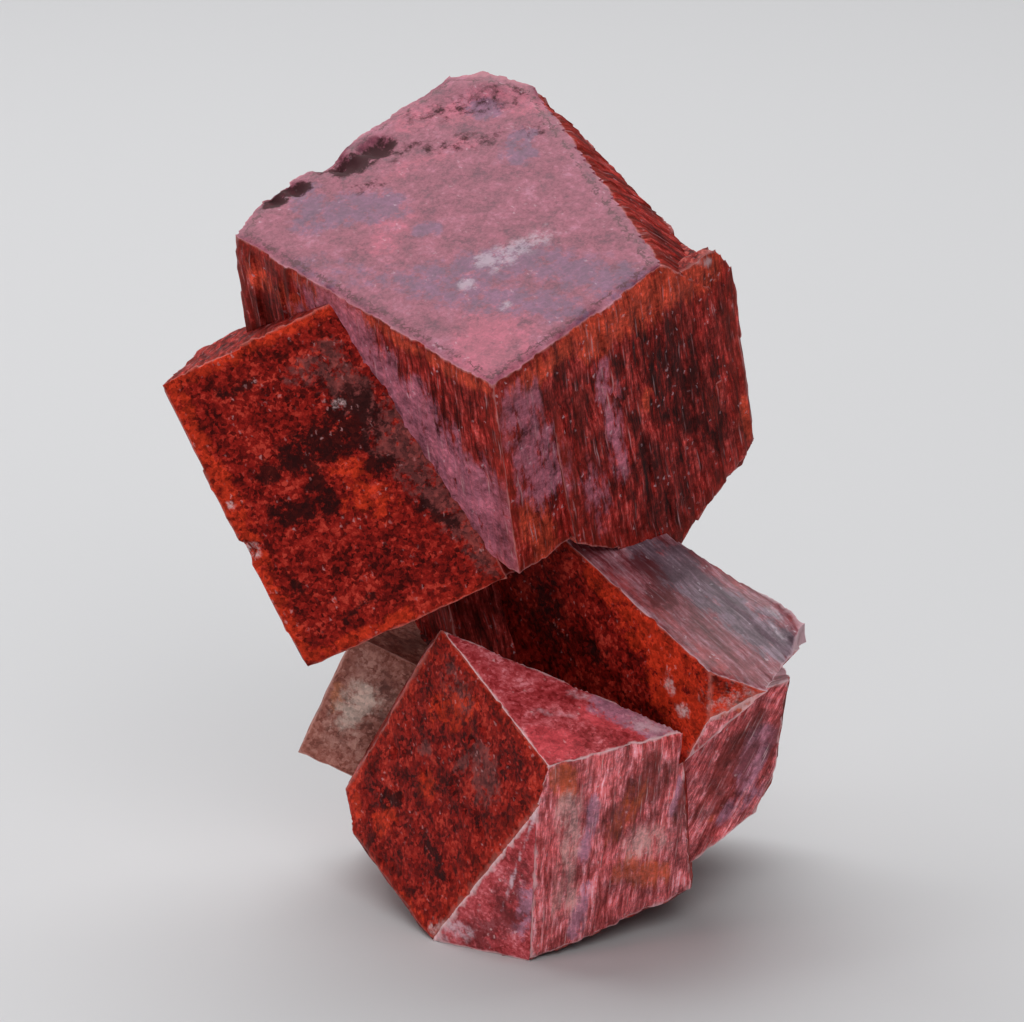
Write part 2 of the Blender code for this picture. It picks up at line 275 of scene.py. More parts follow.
# %% The foot and the spur
PEAK, BROW, SHOULDER = (-3.6, 1.4, 16.2), (1.8, -6.7, 11.4), (8.5, -2.1, 11.9)
NOTCH, TOE, HEEL_POINT = (1.4, -6.4, 9.4), (1.0, -3.3, 0), (-4.2, 0, 0)
KNEE, HIP, LIFT = (-8.3, 6.2, 3.7), (-8.7, 7.0, 5.8), (9.3, 2.9, 2.0)


def at_floor(made):
    """Cut a crystal off flat where the cluster stands."""
    return made.cut(((0, 0, 0), (1, 0, 0), (0, 1, 0)), "rough_back", (0, 1, 0))


def foot():
    made = cube("foot", (1.0, 3.0, 6.0))
    upright = Vector(BROW) - Vector(TOE)
    slope = Vector(PEAK) - Vector(BROW)
    made.cut((PEAK, BROW, HEEL_POINT), "dark_grain", slope)
    made.cut((PEAK, BROW, SHOULDER), "frosted_red", slope)
    made.cut((BROW, SHOULDER, TOE), "pink_streaked", upright)
    made.cut((NOTCH, HEEL_POINT, TOE), "frosted_red", Vector(NOTCH) - Vector(TOE))
    for finish, *points in (
            ("rough_back", PEAK, SHOULDER, (2.0, 5.5, 9.5)),
            ("growth_lined", SHOULDER, LIFT, (8.6, 12.0, 7.0)),
            ("rough_back", TOE, LIFT, (2.5, 9.0, 0)),
            ("rough_back", HEEL_POINT, KNEE, (-6.0, 9.0, 0.5)),
            ("growth_lined", KNEE, HIP, (-8.2, 12.0, 4.0)),
            ("growth_lined", HIP, PEAK, (-7.5, 12.0, 6.5)),
            ("rough_back", (-4.0, 12.5, 0), (4.0, 13.5, 0), (-4.0, 12.0, 10.0))):
        made.cut(points, finish, upright)
    return at_floor(made)


def spur():
    made = cube("spur", (10.5, 4.5, 7.5))
    high, right, low = Vector((14.2, 3.6, 12.9)), Vector((13.5, 3.5, 7.8)), Vector((12.5, 3.0, 5.8))
    foot_end, inner = Vector((9.6, 2.26, 3.66)), Vector((8.2, -0.7, 11.5))
    back, tuck = Vector((0.6, 7.0, 0)), Vector((-0.8, 0, 0))
    hidden = foot_end + tuck
    for finish, *points in (
            ("pink_streaked", high, right, foot_end),
            ("silky_side", high, inner, high + back),
            ("growth_lined", high, right, right + Vector((-0.6, 5.0, -0.6))),
            ("growth_lined", right, low, low + back),
            ("rough_back", low, foot_end, foot_end + Vector((-1.0, 6.0, 1.0))),
            ("growth_lined", (0, 10.5, 5.0), (12.0, 9.5, 5.0), (6.0, 10.0, 12.0)),
            ("dark_grain", inner + tuck, hidden, hidden + Vector((-1.5, 8.0, 0)))):
        made.cut(points, finish, high - foot_end)
    return made


# %% The small crystals and the back
def bud():
    return block("bud", BUD, ("cream_bud",) * 6)


def rear():
    return cleave(block("rear", REAR, LINED_BLOCK), REAR, "growth_lined",
                  ((11.5, 7.0, -4.0), (7.5, 10.0, -4.0), (11.5, 8.5, -16.0)))


def heel():
    return at_floor(block("heel", HEEL, ("dark_grain", "rough_back") + LINED_SIDES))


def cub():
    return at_floor(block("cub", CUB, ("pearly_end", "rough_back") + LINED_SIDES))


crystals = [make() for make in (cap, cap_skirt, cap_ledge, cap_shelf, wing, keel, foot, spur, bud,
                                rear, heel, cub)]
for made in crystals:
    made.coarseness = BACK_COARSENESS if made.name in ("rear", "heel", "cub") else 1.0
print("crystals", [made.name for made in crystals])


# %% [markdown]
# Relief needs small faces. Each side is sliced in its own two directions with the bisect tool,
# so the cells line up with the growth lines. Only that side's own faces go in each time, and
# Blender still splits the shared edges, so the mesh stays closed.

# %% Dividing the faces into grids
ON_SLICE = 0.004                # a corner this close to a slice, in millimetres, lies on it
PAST_SLICE = 0.01               # a face that reaches no further than this past it is done


def slice_faces(mesh, side, number, faces, direction, step):
    """Slice a side's faces at even steps from low to high, and return them all."""
    reach = [vert.co.dot(direction) for face in faces for vert in face.verts]
    low, high = min(reach), max(reach)
    count = max(1, round((high - low) / step))
    done, ahead = [], list(faces)
    for slice_number in range(1, count):
        place = low + (high - low) * slice_number / count
        edges = list(dict.fromkeys(edge for face in ahead for edge in face.edges))
        verts = list(dict.fromkeys(vert for edge in edges for vert in edge.verts))
        cut = bmesh.ops.bisect_plane(mesh, geom=verts + edges + ahead, dist=ON_SLICE,
                                     plane_co=direction * place, plane_no=direction)
        split = [face for edge in cut["geom_cut"] if isinstance(edge, bmesh.types.BMEdge)
                 for face in edge.link_faces if face[side] == number]
        now = list(dict.fromkeys(ahead + split))
        ahead = []
        for face in now:
            top = max(vert.co.dot(direction) for vert in face.verts)
            (done if top < place + PAST_SLICE else ahead).append(face)
    return done + ahead


def slice_side(made, number):
    """Divide one side in the two directions of its growth."""
    faces = [face for face in made.mesh.faces if face[made.side] == number]
    if not faces:
        return
    finish, along = made.sides[number]
    normal = faces[0].normal.copy()
    along = (along - normal * along.dot(normal)).normalized()
    across = along.cross(normal).normalized()
    origin = made.heart + normal * (faces[0].verts[0].co - made.heart).dot(normal)
    made.sides[number] = (finish, along, across, normal, origin)
    for direction, step in zip((across, along), GRID[finish]):
        faces = slice_faces(made.mesh, made.side, number, faces, direction, step * made.coarseness)


# %% [markdown]
# Relief is worked out with plain numpy: a soft noise for lumps, and stepped levels for growth
# lines. The levels change at random places across the lines, and each line also starts and ends
# at random heights, which makes the broken ribs of a real prism face.

# %% Noise for the relief
def scatter(keys, seed):
    """A repeatable number from 0 to 1 for every row of whole numbers."""
    mixed = np.full(len(keys), seed * 2654435761 % 4294967296, dtype=np.uint64)
    for column in range(keys.shape[1]):
        mixed ^= (keys[:, column].astype(np.int64) & 0xFFFFFFFF).astype(np.uint64)
        mixed = (mixed * 0x9E3779B1) & 0xFFFFFFFF
        mixed ^= mixed >> 15
        mixed = (mixed * 0x85EBCA77) & 0xFFFFFFFF
        mixed ^= mixed >> 13
    return mixed / 4294967295.0


def lumps(points, size, seed, octaves=3):
    """Soft noise from -1 to 1, with lumps about size across and smaller ones on them."""
    total = np.zeros(len(points))
    strength, whole = 1.0, 0.0
    for octave in range(octaves):
        scaled = points * (2.0 ** octave / size)
        base = np.floor(scaled)
        part = scaled - base
        part = part * part * (3.0 - 2.0 * part)
        value = np.zeros(len(points))
        for corner in np.ndindex(*(2,) * points.shape[1]):
            weight = np.prod(np.where(corner, part, 1.0 - part), axis=1)
            value += weight * scatter(base + corner, seed + 17 * octave)
        total += strength * (value * 2.0 - 1.0)
        whole += strength
        strength *= 0.5
    return total / whole


def ribs(across, along, width, length, seed):
    """Stepped levels from -1 to 1 in strips across, each broken at random along its length."""
    strip = np.floor(across / width + 0.3 * lumps(np.c_[across, across] / width, 2.0, seed, 1))
    start = scatter(np.c_[strip], seed + 3) * 9.0
    piece = np.floor(along / length + start)
    return scatter(np.c_[strip, piece], seed + 5) * 2.0 - 1.0


# %% Relief for each finish
def relief(finish, points, across, along, edge, seed):
    """How far each point stands out of its flat face, in millimetres."""
    if finish == "rough_back":
        return 0.16 * lumps(points, 1.6, seed)
    if finish == "pearly_end":
        ripple = 0.03 * lumps(points, 3.0, seed)
        lip = -0.06 / (1.0 + np.exp((edge - 0.45 - 0.12 * lumps(points, 1.0, seed + 1)) / 0.06))
        return ripple + lip
    if finish == "cream_bud":
        return 0.07 * lumps(points, 1.2, seed)
    if finish == "frosted_red":
        return 0.05 * lumps(points, 0.7, seed, 4)
    if finish == "dark_grain":
        grain = 0.09 * lumps(points, 0.9, seed, 4)
        pits = np.clip(lumps(points, 0.75, seed + 7, 2) - 0.35, 0.0, 1.0)
        return grain - 0.4 * pits
    lines = (0.055 * ribs(across, along, 0.42, 4.0, seed) + 0.10 * ribs(across, along, 1.5, 9.0, seed + 1)
             + 0.022 * ribs(across, along, 0.2, 2.0, seed + 2) + 0.04 * lumps(points, 1.6, seed + 4))
    if finish == "silky_side":
        lines *= 0.45
    return lines


# %% [markdown]
# Chips break out of a real crystal's rim. A pit is told by a middle, a reach and a depth, and it
# sinks whatever faces it touches, with a ragged outline. A negative depth makes a soft swelling
# instead, where a corner is fuller than flat cuts can make it.

# %% Pits and swellings
PITS = [                                    # middle, reach, depth
    (spot(CAP, 9.4, 18.4, -0.2), 0.8, 0.4),
    (spot(CAP, 7.6, 18.5, -0.1), 0.7, 0.35),
    (spot(CAP, 4.5, 19.2, -0.3), 0.6, 0.4),
    (spot(CAP, 3.3, 19.3, 0), 0.45, 0.3),
    (spot(CAP, 7.2, 19.8, 0.0), 0.9, 0.5),
    (spot(CAP, 18.4, 14.2, 0.0), 1.3, 0.35),
    (spot(CAP, 16.6, 17.7, 0.0), 1.5, -0.35),
    (Vector((10.0, 1.3, 6.2)), 0.6, 0.45),
    (spot(WING, -0.1, 0.1, -9.6), 0.5, 0.4),
    (spot(KEEL, 6.2, 0.3, -1.2), 1.3, -0.25),
    (spot(KEEL, 6.3, 1.9, 0.0), 1.5, -0.3),
]


def pit_depth(points):
    """How deep the pits are at each point, and less than nothing on a swelling."""
    depth = np.zeros(len(points))
    ragged = 0.4 * lumps(points, 0.6, 61, 3)
    for middle, reach, deep in PITS:
        away = np.linalg.norm(points - np.array(middle), axis=1) / reach
        if deep > 0.0:
            depth += deep * np.exp(-np.clip(away + ragged, 0.0, None) ** 4)
        else:
            depth += deep * np.exp(-away ** 2)
    return depth


# %% [markdown]
# Colour isn't spread evenly in such a crystal. There are dark stains and white frost, and there is
# painted light: a painted orange glow where light would come through thin red parts, a lavender
# painted sheen where a face mirrors the lamp, and frost that in places is a painted highlight and
# in others lifts a shaded spot. An artist would paint them on. Here a patch is a soft stroke: the
# face it lies on, where it starts and ends in that crystal's own millimetres, how wide it reaches
# and how strong it is. The strokes are kept in two UV maps, and the materials later break up their
# outlines with noise.

# %% Patches of colour and painted light
PATCH_MAPS = (("stain and ember", ("Stain", "Painted Glow")), ("veil and frost", ("Painted Sheen", "Frost And Highlight")))
KINDS = [kind.lower() for name, kinds in PATCH_MAPS for kind in kinds]
SAME_SIDE = 0.75                # a stroke is laid on sides that face its way at least this much
UPRIGHT = ((0, 0, 0), (0, 0, 0))    # for crystals that are told in the cluster's own axes
PATCHES = [
    (CAP, (0, 0, 1), [    # the pearly end
    ("painted sheen", (4.8, 16.0, 0), (6.5, 14.5, 0), 1.4, 0.9),
    ("painted sheen", (4.4, 18.3, 0), (3.0, 16.5, 0), 1.2, 0.8),
    ("painted sheen", (15.0, 16.4, 0), (15.0, 16.0, 0), 0.9, 1.0),
    ("painted sheen", (14.6, 13.1, 0), (13.6, 12.0, 0), 1.0, 0.9),
    ("painted sheen", (6.3, 11.6, 0), (6.8, 11.0, 0), 0.6, 1.0),
    ("painted sheen", (0.5, 14.0, 0), (3.4, 8.7, 0), 1.8, 0.45),
    ("painted sheen", (3.4, 8.7, 0), (7.6, 6.0, 0), 1.8, 0.75),
    ("painted sheen", (7.6, 6.0, 0), (9.7, 1.0, 0), 2.0, 0.75),
    ("painted sheen", (3.8, 6.9, 0), (6.4, 1.5, 0), 1.6, 0.7),
    ("painted glow", (1.5, 1.8, 0), (2.8, 2.6, 0), 2.4, 0.85),
    ("painted glow", (4.0, 12.0, 0), (6.0, 13.5, 0), 1.6, 0.55),
    ("painted glow", (8.5, 16.0, 0), (12.5, 15.0, 0), 1.2, 0.5),
    ("frost and highlight", (6.9, 6.9, 0), (9.6, 6.6, 0), 1.2, 0.7),
    ("frost and highlight", (4.6, 6.6, 0), (4.7, 6.8, 0), 0.6, 0.8),
    ("frost and highlight", (6.3, 7.5, 0), (6.7, 7.4, 0), 0.6, 0.8),
    ("frost and highlight", (4.6, 3.8, 0), (4.7, 3.9, 0), 0.4, 0.75),
    ("stain", (9.8, 18.2, 0), (7.2, 18.4, 0), 0.8, 1.2),
    ("stain", (7.6, 18.9, 0), (6.6, 19.4, 0), 0.6, 0.8),
    ("stain", (4.7, 19.1, 0), (3.1, 19.3, 0), 0.6, 1.15),
    ("painted glow", (12.5, 18.5, 0), (17.0, 15.0, 0), 2.0, 0.6),
    ("stain", (12.5, 18.5, 0), (16.5, 16.0, 0), 1.8, 0.41),
    ("stain", (10.0, 17.2, 0), (14.0, 14.0, 0), 1.4, 0.44),
    ("stain", (14.0, 14.0, 0), (15.7, 12.7, 0), 1.0, 0.4),
    ("stain", (7.3, 16.2, 0), (6.5, 16.6, 0), 0.9, 0.45),
    ]),
    (CAP, (0, -1, 0), [    # its lined side to the right
    ("painted glow", (1.8, 0, -1.2), (6.5, 0, -0.8), 0.9, 0.8),
    ("painted glow", (6.5, 0, -1.0), (14.4, 0, -1.6), 1.8, 1.0),
    ("painted glow", (1.5, 0, -9.3), (2.0, 0, -12.2), 1.2, 0.9),
    ("painted glow", (15.9, 0, -13.3), (15.9, 0, -11.5), 0.8, 0.9),
    ("painted glow", (9.5, 0, -7.6), (9.8, 0, -7.0), 0.7, 0.7),
    ("painted sheen", (1.2, 0, -2.5), (2.6, 0, -8.0), 2.0, 0.72),
    ("painted sheen", (7.1, 0, -3.5), (7.4, 0, -10.5), 0.9, 0.58),
    ("painted sheen", (5.1, 0, -9.0), (5.8, 0, -12.5), 1.3, 0.52),
    # a painted highlight where the upper ledge's knob catches the light
    ("frost and highlight", (14.2, 0.2, -1.3), (14.9, 0.2, -1.9), 0.3, 1.2),
    ("stain", (12.9, 0, -7.3), (12.9, 0, -7.6), 0.6, 1.0),
    ("stain", (9.1, 0, -9.5), (9.0, 0, -11.0), 0.7, 0.9),
    ("stain", (3.3, 0, -12.3), (3.3, 0, -12.6), 0.4, 1.0),
    ("stain", (11.2, 0, -5.0), (13.5, 0, -12.0), 2.4, 0.64),
    ]),
    (CAP, (-1, 0, 0), [    # its side to the left
    ("painted glow", (0, 14.3, -0.6), (0, 0.7, -0.5), 0.6, 0.85),
    ("painted glow", (0, 18.0, -1.9), (0, 14.0, -2.5), 1.2, 0.6),
    ("painted sheen", (0, 11.5, -3.0), (0, 2.0, -9.5), 3.4, 1.1),
    ("painted sheen", (0, 2.5, -8.9), (0, 2.2, -11.4), 1.2, 0.7),
    ("stain", (0, 18.4, -5.7), (0, 17.0, -6.0), 1.2, 0.8),
    ]),
    (WING, (0, -1, 0), [    # the wing's large face
    ("painted glow", (0.3, 0, -0.2), (9.1, 0, -0.1), 0.6, 0.75),
    ("painted glow", (0.1, 0, -0.5), (0.1, 0, -15.6), 0.8, 0.8),
    ("painted glow", (0.3, 0, -15.9), (6.0, 0, -15.9), 0.5, 0.7),
    ("painted glow", (6.0, 0, -7.8), (6.8, 0, -8.0), 0.8, 0.7),
    ("painted glow", (7.2, 0, -10.2), (6.5, 0, -9.5), 1.3, 0.6),
    ("stain", (7.4, 0, -6.1), (8.3, 0, -5.5), 1.5, 1.0),
    ("stain", (4.3, 0, -6.1), (6.5, 0, -6.3), 1.1, 0.95),
    ("stain", (4.7, 0, -7.0), (4.7, 0, -9.0), 0.7, 0.9),
    ("stain", (2.6, 0, -6.3), (2.8, 0, -6.5), 0.7, 0.8),
    ("stain", (2.6, 0, -8.6), (3.6, 0, -9.0), 0.9, 0.9),
    ("stain", (8.7, 0, -8.5), (8.0, 0, -8.2), 0.6, 0.9),
    ("stain", (9.1, 0, -11.1), (10.2, 0, -12.6), 0.5, 0.8),
    ("stain", (2.3, 0, -1.9), (4.0, 0, -2.0), 0.5, 0.6),
    ("stain", (1.4, 0, -12.3), (1.6, 0, -12.4), 0.5, 0.7),
    ("stain", (4.8, 0, -14.2), (3.0, 0, -14.9), 0.4, 0.6),
    ("painted sheen", (8.1, 0, -3.0), (11.2, 0, -14.5), 1.3, 0.85),
    ("painted sheen", (6.5, 0, -2.5), (8.5, 0, -2.0), 1.0, 0.6),
    ("frost and highlight", (7.5, 0, -4.7), (7.6, 0, -4.8), 0.35, 0.8),
    ("frost and highlight", (0.1, 0, -9.7), (0.2, 0, -9.8), 0.45, 0.8),
    ("frost and highlight", (0.2, 0, -7.1), (0.2, 0, -7.3), 0.25, 0.9),
    ]),
    (UPRIGHT, (-0.81, -0.59, 0.08), [    # the foot's grainy side
    ("painted glow", (-3.9, 1.2, 12.0), (-2.2, -0.9, 12.6), 1.3, 0.6),
    ("painted glow", (-4.4, 1.4, 7.8), (-4.2, 1.2, 8.0), 0.8, 0.9),
    ("painted glow", (-6.9, 4.4, 4.8), (-6.2, 3.5, 5.5), 0.7, 0.8),
    ("painted glow", (-8.2, 6.4, 6.2), (-8.0, 6.0, 5.0), 0.5, 0.7),
    ("painted glow", (-5.6, 2.2, 1.7), (-4.6, 0.8, 0.8), 0.6, 0.6),
    ("painted sheen", (-1.3, -2.8, 9.1), (-1.6, -2.4, 10.2), 1.3, 0.85),
    ("painted sheen", (-4.6, 1.8, 9.6), (-4.4, 1.6, 9.8), 0.5, 0.8),
    ("painted sheen", (-2.2, -1.4, 10.2), (-2.8, -0.6, 9.4), 0.4, 0.9),
    ("painted sheen", (-3.1, 0.4, 13.9), (-2.4, -0.5, 13.0), 1.2, 0.6),
    ("stain", (-6.6, 4.1, 6.2), (-5.9, 3.2, 6.5), 0.5, 0.9),
    ("stain", (-4.4, 1.0, 5.2), (-4.1, 0.6, 4.6), 0.5, 0.95),
    ("stain", (-3.7, -0.2, 3.6), (-3.6, 0.0, 4.3), 0.5, 0.9),
    ("stain", (-1.8, -2.3, 7.1), (-1.8, -2.3, 7.3), 0.3, 1.0),
    ("stain", (-5.0, 2.5, 7.5), (-3.0, -0.5, 8.5), 1.5, 0.4),
    ("frost and highlight", (-4.0, 0.0, 0.6), (-2.6, -1.3, 1.4), 0.5, 0.7),
    ]),
    (UPRIGHT, (0.2, -0.39, 0.9), [    # the foot's upper side
    ("painted glow", (2.3, -5.0, 12.0), (1.6, -5.2, 12.0), 1.3, 1.0),
    # the right end lies in the shade of the cap and the keel, and these strokes lift it with painted light
    ("frost and highlight", (6.4, -2.3, 12.3), (7.8, -2.0, 12.1), 0.9, 0.7),
    ("frost and highlight", (3.1, -1.1, 13.6), (3.6, -1.2, 13.4), 0.6, 0.7),
    ("frost and highlight", (1.1, -3.1, 13.1), (3.0, -2.6, 12.9), 0.5, 0.45),
    ("painted sheen", (4.6, -1.4, 13.0), (7.4, -2.3, 12.2), 1.1, 0.9),
    ("painted glow", (4.0, -2.4, 12.7), (6.0, -2.6, 12.2), 1.0, 0.8),
    ]),
    (UPRIGHT, (0.56, -0.78, -0.27), [    # the foot's streaked side
    ("painted glow", (2.3, -6.0, 10.8), (2.8, -5.6, 9.6), 0.8, 0.9),
    ("painted glow", (5.6, -1.4, 4.4), (7.9, -0.2, 3.4), 1.0, 0.85),
    ("stain", (7.3, -2.2, 9.8), (5.6, -2.9, 7.2), 1.5, 0.85),
    ("stain", (8.9, -0.1, 6.4), (8.5, -0.5, 9.0), 0.8, 0.85),
    ("painted sheen", (4.2, -4.2, 8.6), (3.5, -3.6, 4.5), 0.6, 0.85),
    ("painted sheen", (3.3, -2.2, 1.2), (3.7, -2.7, 3.8), 0.5, 1.0),
    ("painted sheen", (8.3, -0.9, 9.0), (8.2, -0.8, 7.2), 0.4, 1.0),
    ("frost and highlight", (6.4, -1.4, 5.7), (7.3, -0.8, 5.4), 1.3, 1.0),
    ("frost and highlight", (2.9, -5.1, 9.1), (3.0, -3.4, 3.0), 1.0, 0.95),
    ("painted glow", (6.2, -2.6, 8.8), (5.2, -2.6, 6.4), 1.1, 0.5),
    ]),
    (UPRIGHT, (0.33, -0.94, -0.03), [    # the spur's streaked side
    ("stain", (11.1, 2.8, 9.3), (12.8, 3.2, 11.0), 0.35, 1.1),
    ("stain", (10.2, 2.6, 6.6), (11.3, 2.9, 9.3), 1.5, 0.85),
    ("stain", (13.3, 3.5, 9.0), (13.8, 3.6, 11.5), 0.5, 0.6),
    ("painted sheen", (11.8, 3.1, 7.9), (12.8, 3.3, 9.7), 0.8, 1.0),
    ("painted sheen", (10.6, 2.7, 5.6), (12.6, 3.2, 7.2), 0.7, 0.6),
    ("painted glow", (10.1, 2.6, 5.7), (10.2, 2.6, 5.8), 0.4, 1.1),
    ]),
    (UPRIGHT, (-0.21, -0.96, -0.21), [    # the keel's narrow end
    # painted light: these pale and orange strokes lift an end that lies in shade
    ("frost and highlight", (9.9, -3.9, 13.9), (11.4, -4.2, 14.6), 1.1, 0.45),
    ("painted glow", (9.9, -4.0, 13.9), (11.8, -4.3, 14.3), 1.0, 1.0),
    ("stain", (11.0, -4.2, 13.9), (12.3, -4.4, 14.5), 0.15, 1.0),
    ]),
    (UPRIGHT, (-0.52, -0.82, -0.25), [    # the narrow side beside the foot's front edge
    ("frost and highlight", (1.2, -6.1, 9.0), (-0.5, -3.0, 2.6), 0.14, 1.2),
    ("frost and highlight", (1.3, -4.4, 3.6), (0.9, -3.2, 0.3), 0.12, 0.9),
    ("frost and highlight", (-3.6, -0.2, 0.3), (-2.2, -1.5, 1.0), 0.6, 0.7),
    ("stain", (-1.6, -1.9, 0.9), (0.2, -3.2, 2.6), 1.2, 0.85),
    ("stain", (0.6, -4.6, 5.6), (-0.6, -3.0, 3.0), 0.9, 0.7),
    ("painted sheen", (0.4, -3.2, 1.6), (1.0, -4.2, 4.2), 0.7, 0.8),
    ]),
    (KEEL, (-1, 0, 0), [    # the keel's grainy side
    ("stain", (0, 9.9, -5.7), (0, 11.2, -4.5), 2.0, 0.6),
    ("stain", (0, 7.5, -4.5), (0, 7.0, -4.4), 1.2, 0.55),
    ("painted glow", (0, 2.9, -1.4), (0, 0.6, -3.4), 2.2, 1.2),
    ("painted glow", (0, 9.1, -0.6), (0, 3.0, -0.9), 0.9, 0.85),
    ("painted glow", (0, 5.5, -1.8), (0, 5.0, -1.9), 1.1, 0.75),
    ("frost and highlight", (0, 2.3, -2.4), (0, 2.0, -2.8), 0.5, 0.75),
    ("frost and highlight", (0, 1.1, -3.5), (0, 0.9, -3.3), 0.5, 0.8),
    ]),
    (KEEL, (0, 0, 1), [    # the keel's silky side
    ("stain", (2.6, 8.2, 0), (1.2, 5.0, 0), 1.0, 0.75),
    ("painted sheen", (3.4, 8.5, 0), (4.8, -0.3, 0), 1.6, 1.0),
    ("painted glow", (0.6, 8.0, 0), (0.8, -1.0, 0), 0.7, 0.6),
    ("painted glow", (6.2, 9.0, 0), (6.0, 4.0, 0), 0.5, 0.8),
    ("painted glow", (6.3, 0.8, 0), (6.3, 0.2, 0), 0.5, 0.6),
    ("stain", (2.0, 3.8, 0), (1.8, -1.8, 0), 0.25, 0.6),
    ("frost and highlight", (5.6, 1.6, 0), (5.2, 0.2, 0), 0.7, 0.7),
    ]),
    (BUD, (0, -1, 0), [    # the bud's front
    ("frost and highlight", (1.8, 0, -3.2), (1.5, 0, -4.4), 1.2, 1.05),
    ("painted glow", (0.9, 0, -4.2), (0.4, 0, -3.2), 0.5, 0.8),
    ("stain", (3.0, 0, -2.0), (3.4, 0, -4.0), 1.0, 0.5),
    ("stain", (1.8, 0, -5.6), (2.0, 0, -5.7), 0.6, 0.45),
    ]),
    (BUD, (0, 0, 1), [    # and its top
    ("stain", (2.4, 1.1, 0), (3.2, 3.2, 0), 1.4, 0.7),
    ]),
]


def patch_strengths(points, normal, seed):
    """How strongly each kind of patch lies on each point of a side that faces along normal."""
    found = np.zeros((len(points), len(KINDS)))
    wander = 0.5 * lumps(points, 1.1, seed + 41, 4)
    for crystal, facing, strokes in PATCHES:
        if (turned(crystal[1]) @ Vector(facing)).normalized().dot(normal) < SAME_SIDE:
            continue
        for kind, start, end, reach, strength in strokes:
            first, last = np.array(spot(crystal, *start)), np.array(spot(crystal, *end))
            along = last - first
            share = np.clip((points - first) @ along / (along @ along + 1e-9), 0.0, 1.0)
            away = np.linalg.norm(points - first - share[:, None] * along, axis=1) / reach + wander
            place = KINDS.index(kind)
            soft = strength * np.exp(-np.clip(away, 0.0, None) ** 2)
            found[:, place] = np.maximum(found[:, place], soft)
    return found


# %% [markdown]
# A point on an edge belongs to two faces, so it moves by both reliefs. The sharp edges of a real
# crystal are a little worn, so points close to an edge also move in. While the faces are still
# flat we store, for the colours, where each corner lies across and along the lines, how far it
# is from the crystal's edge, how high its relief is and how strong each patch is. They go into
# four UV maps, because a Boolean keeps those.

# %% Relief, and what the colours need
EDGE_WEAR = 0.07                # how far an edge is worn in, in millimetres
WEAR_REACH = 0.16               # how quickly the wear fades away from the edge
SIDE_SHIFT = 31.0               # keeps the noise of one side from going on over the next
FLAT_AGAIN = 0.995              # sides that face more alike than this are one flat face
DOWN = -0.999                   # a side that faces down like this is left flat, to stand on


def read(items, name, kind, width=1):
    """One property of all of a mesh's points, corners or faces."""
    values = np.empty(len(items) * width, dtype=kind)
    items.foreach_get(name, values)
    return values


def sliced(made):
    """Slice a crystal's sides and return it as mesh data."""
    made.in_order()
    made.mesh.normal_update()
    for number in range(len(made.sides)):
        slice_side(made, number)
    data = bpy.data.meshes.new(made.name)
    made.mesh.to_mesh(data)
    made.mesh.free()
    return data


def finish_crystal(made, seed):
    """Give a crystal its relief, store what the colours need, and return it as an object."""
    data = sliced(made)
    points = read(data.vertices, "co", np.float64, 3).reshape(-1, 3)
    corners = read(data.loops, "vertex_index", np.int64)
    side_of_face = read(data.attributes["side"].data, "value", np.int32)
    side_of_corner = np.repeat(side_of_face, read(data.polygons, "loop_total", np.int32))

    whole = [(number, side) for number, side in enumerate(made.sides) if len(side) == 5]
    away = {number: (points - np.array(side[4])) @ np.array(side[3]) for number, side in whole}
    move = np.zeros_like(points)
    stored = np.zeros((len(corners), 8))
    for number, (finish, along, across, normal, origin) in whole:
        mine = side_of_corner == number
        used = np.unique(corners[mine])
        here = points[used]
        others = [-away[other][used] for other, side in whole
                  if other != number and abs(side[3].dot(normal)) < FLAT_AGAIN]
        edge = np.min(others, axis=0)
        u = (here - np.array(origin)) @ np.array(across) + SIDE_SHIFT * number
        v = (here - np.array(origin)) @ np.array(along)
        height = relief(finish, here, u, v, edge, seed + 13 * number)
        wear = EDGE_WEAR * np.exp(-np.clip(edge, 0.0, None) / WEAR_REACH)
        wear *= 1.0 + 0.9 * lumps(here, 0.8, seed + 29, 2)
        if normal.z > DOWN:
            move[used] += (height - wear - pit_depth(here))[:, None] * np.array(normal)
        spread = np.zeros((len(points), 8))
        spread[used] = np.c_[u, v, edge, height, patch_strengths(here, normal, seed)]
        stored[mine] = spread[corners[mine]]
    points += move
    points[:, 2] = np.maximum(points[:, 2], 0.0)
    data.vertices.foreach_set("co", points.ravel())
    for place, name in enumerate(["growth", "shape"] + [name for name, _ in PATCH_MAPS]):
        layer = data.uv_layers.new(name=name)
        layer.uv.foreach_set("vector", stored[:, 2 * place:2 * place + 2].ravel())
    finishes = np.array([FINISHES.index(side[0]) for side in made.sides])
    data.polygons.foreach_set("material_index", finishes[side_of_face].astype(np.int32))
    data.update()
    thing = bpy.data.objects.new(made.name, data)
    bpy.context.scene.collection.objects.link(thing)
    print(f"{made.name:10} {len(data.polygons):6} faces")
    return thing


pieces = [finish_crystal(made, 100 * order) for order, made in enumerate(crystals)]

# %% [markdown]
# In nature the crystals grew through one another, so there is no gap and no seam inside. A
# Boolean union joins them in the same way: what lies inside another crystal goes, and one skin
# is left. The manifold solver is quick on dense closed meshes. Where two skins nearly touch it
# can leave tiny closed crumbs beside the body, so those are found and removed.

# %% Growing the crystals together
def unite(body, tool):
    step = body.modifiers.new("grow", 'BOOLEAN')
    step.operation = 'UNION'
    step.object = tool
    step.solver = 'MANIFOLD'
    bpy.context.view_layer.update()
    seen = body.evaluated_get(bpy.context.evaluated_depsgraph_get())
    joined = bpy.data.meshes.new_from_object(seen)
    body.modifiers.clear()
    body.data = joined
    bpy.data.objects.remove(tool)


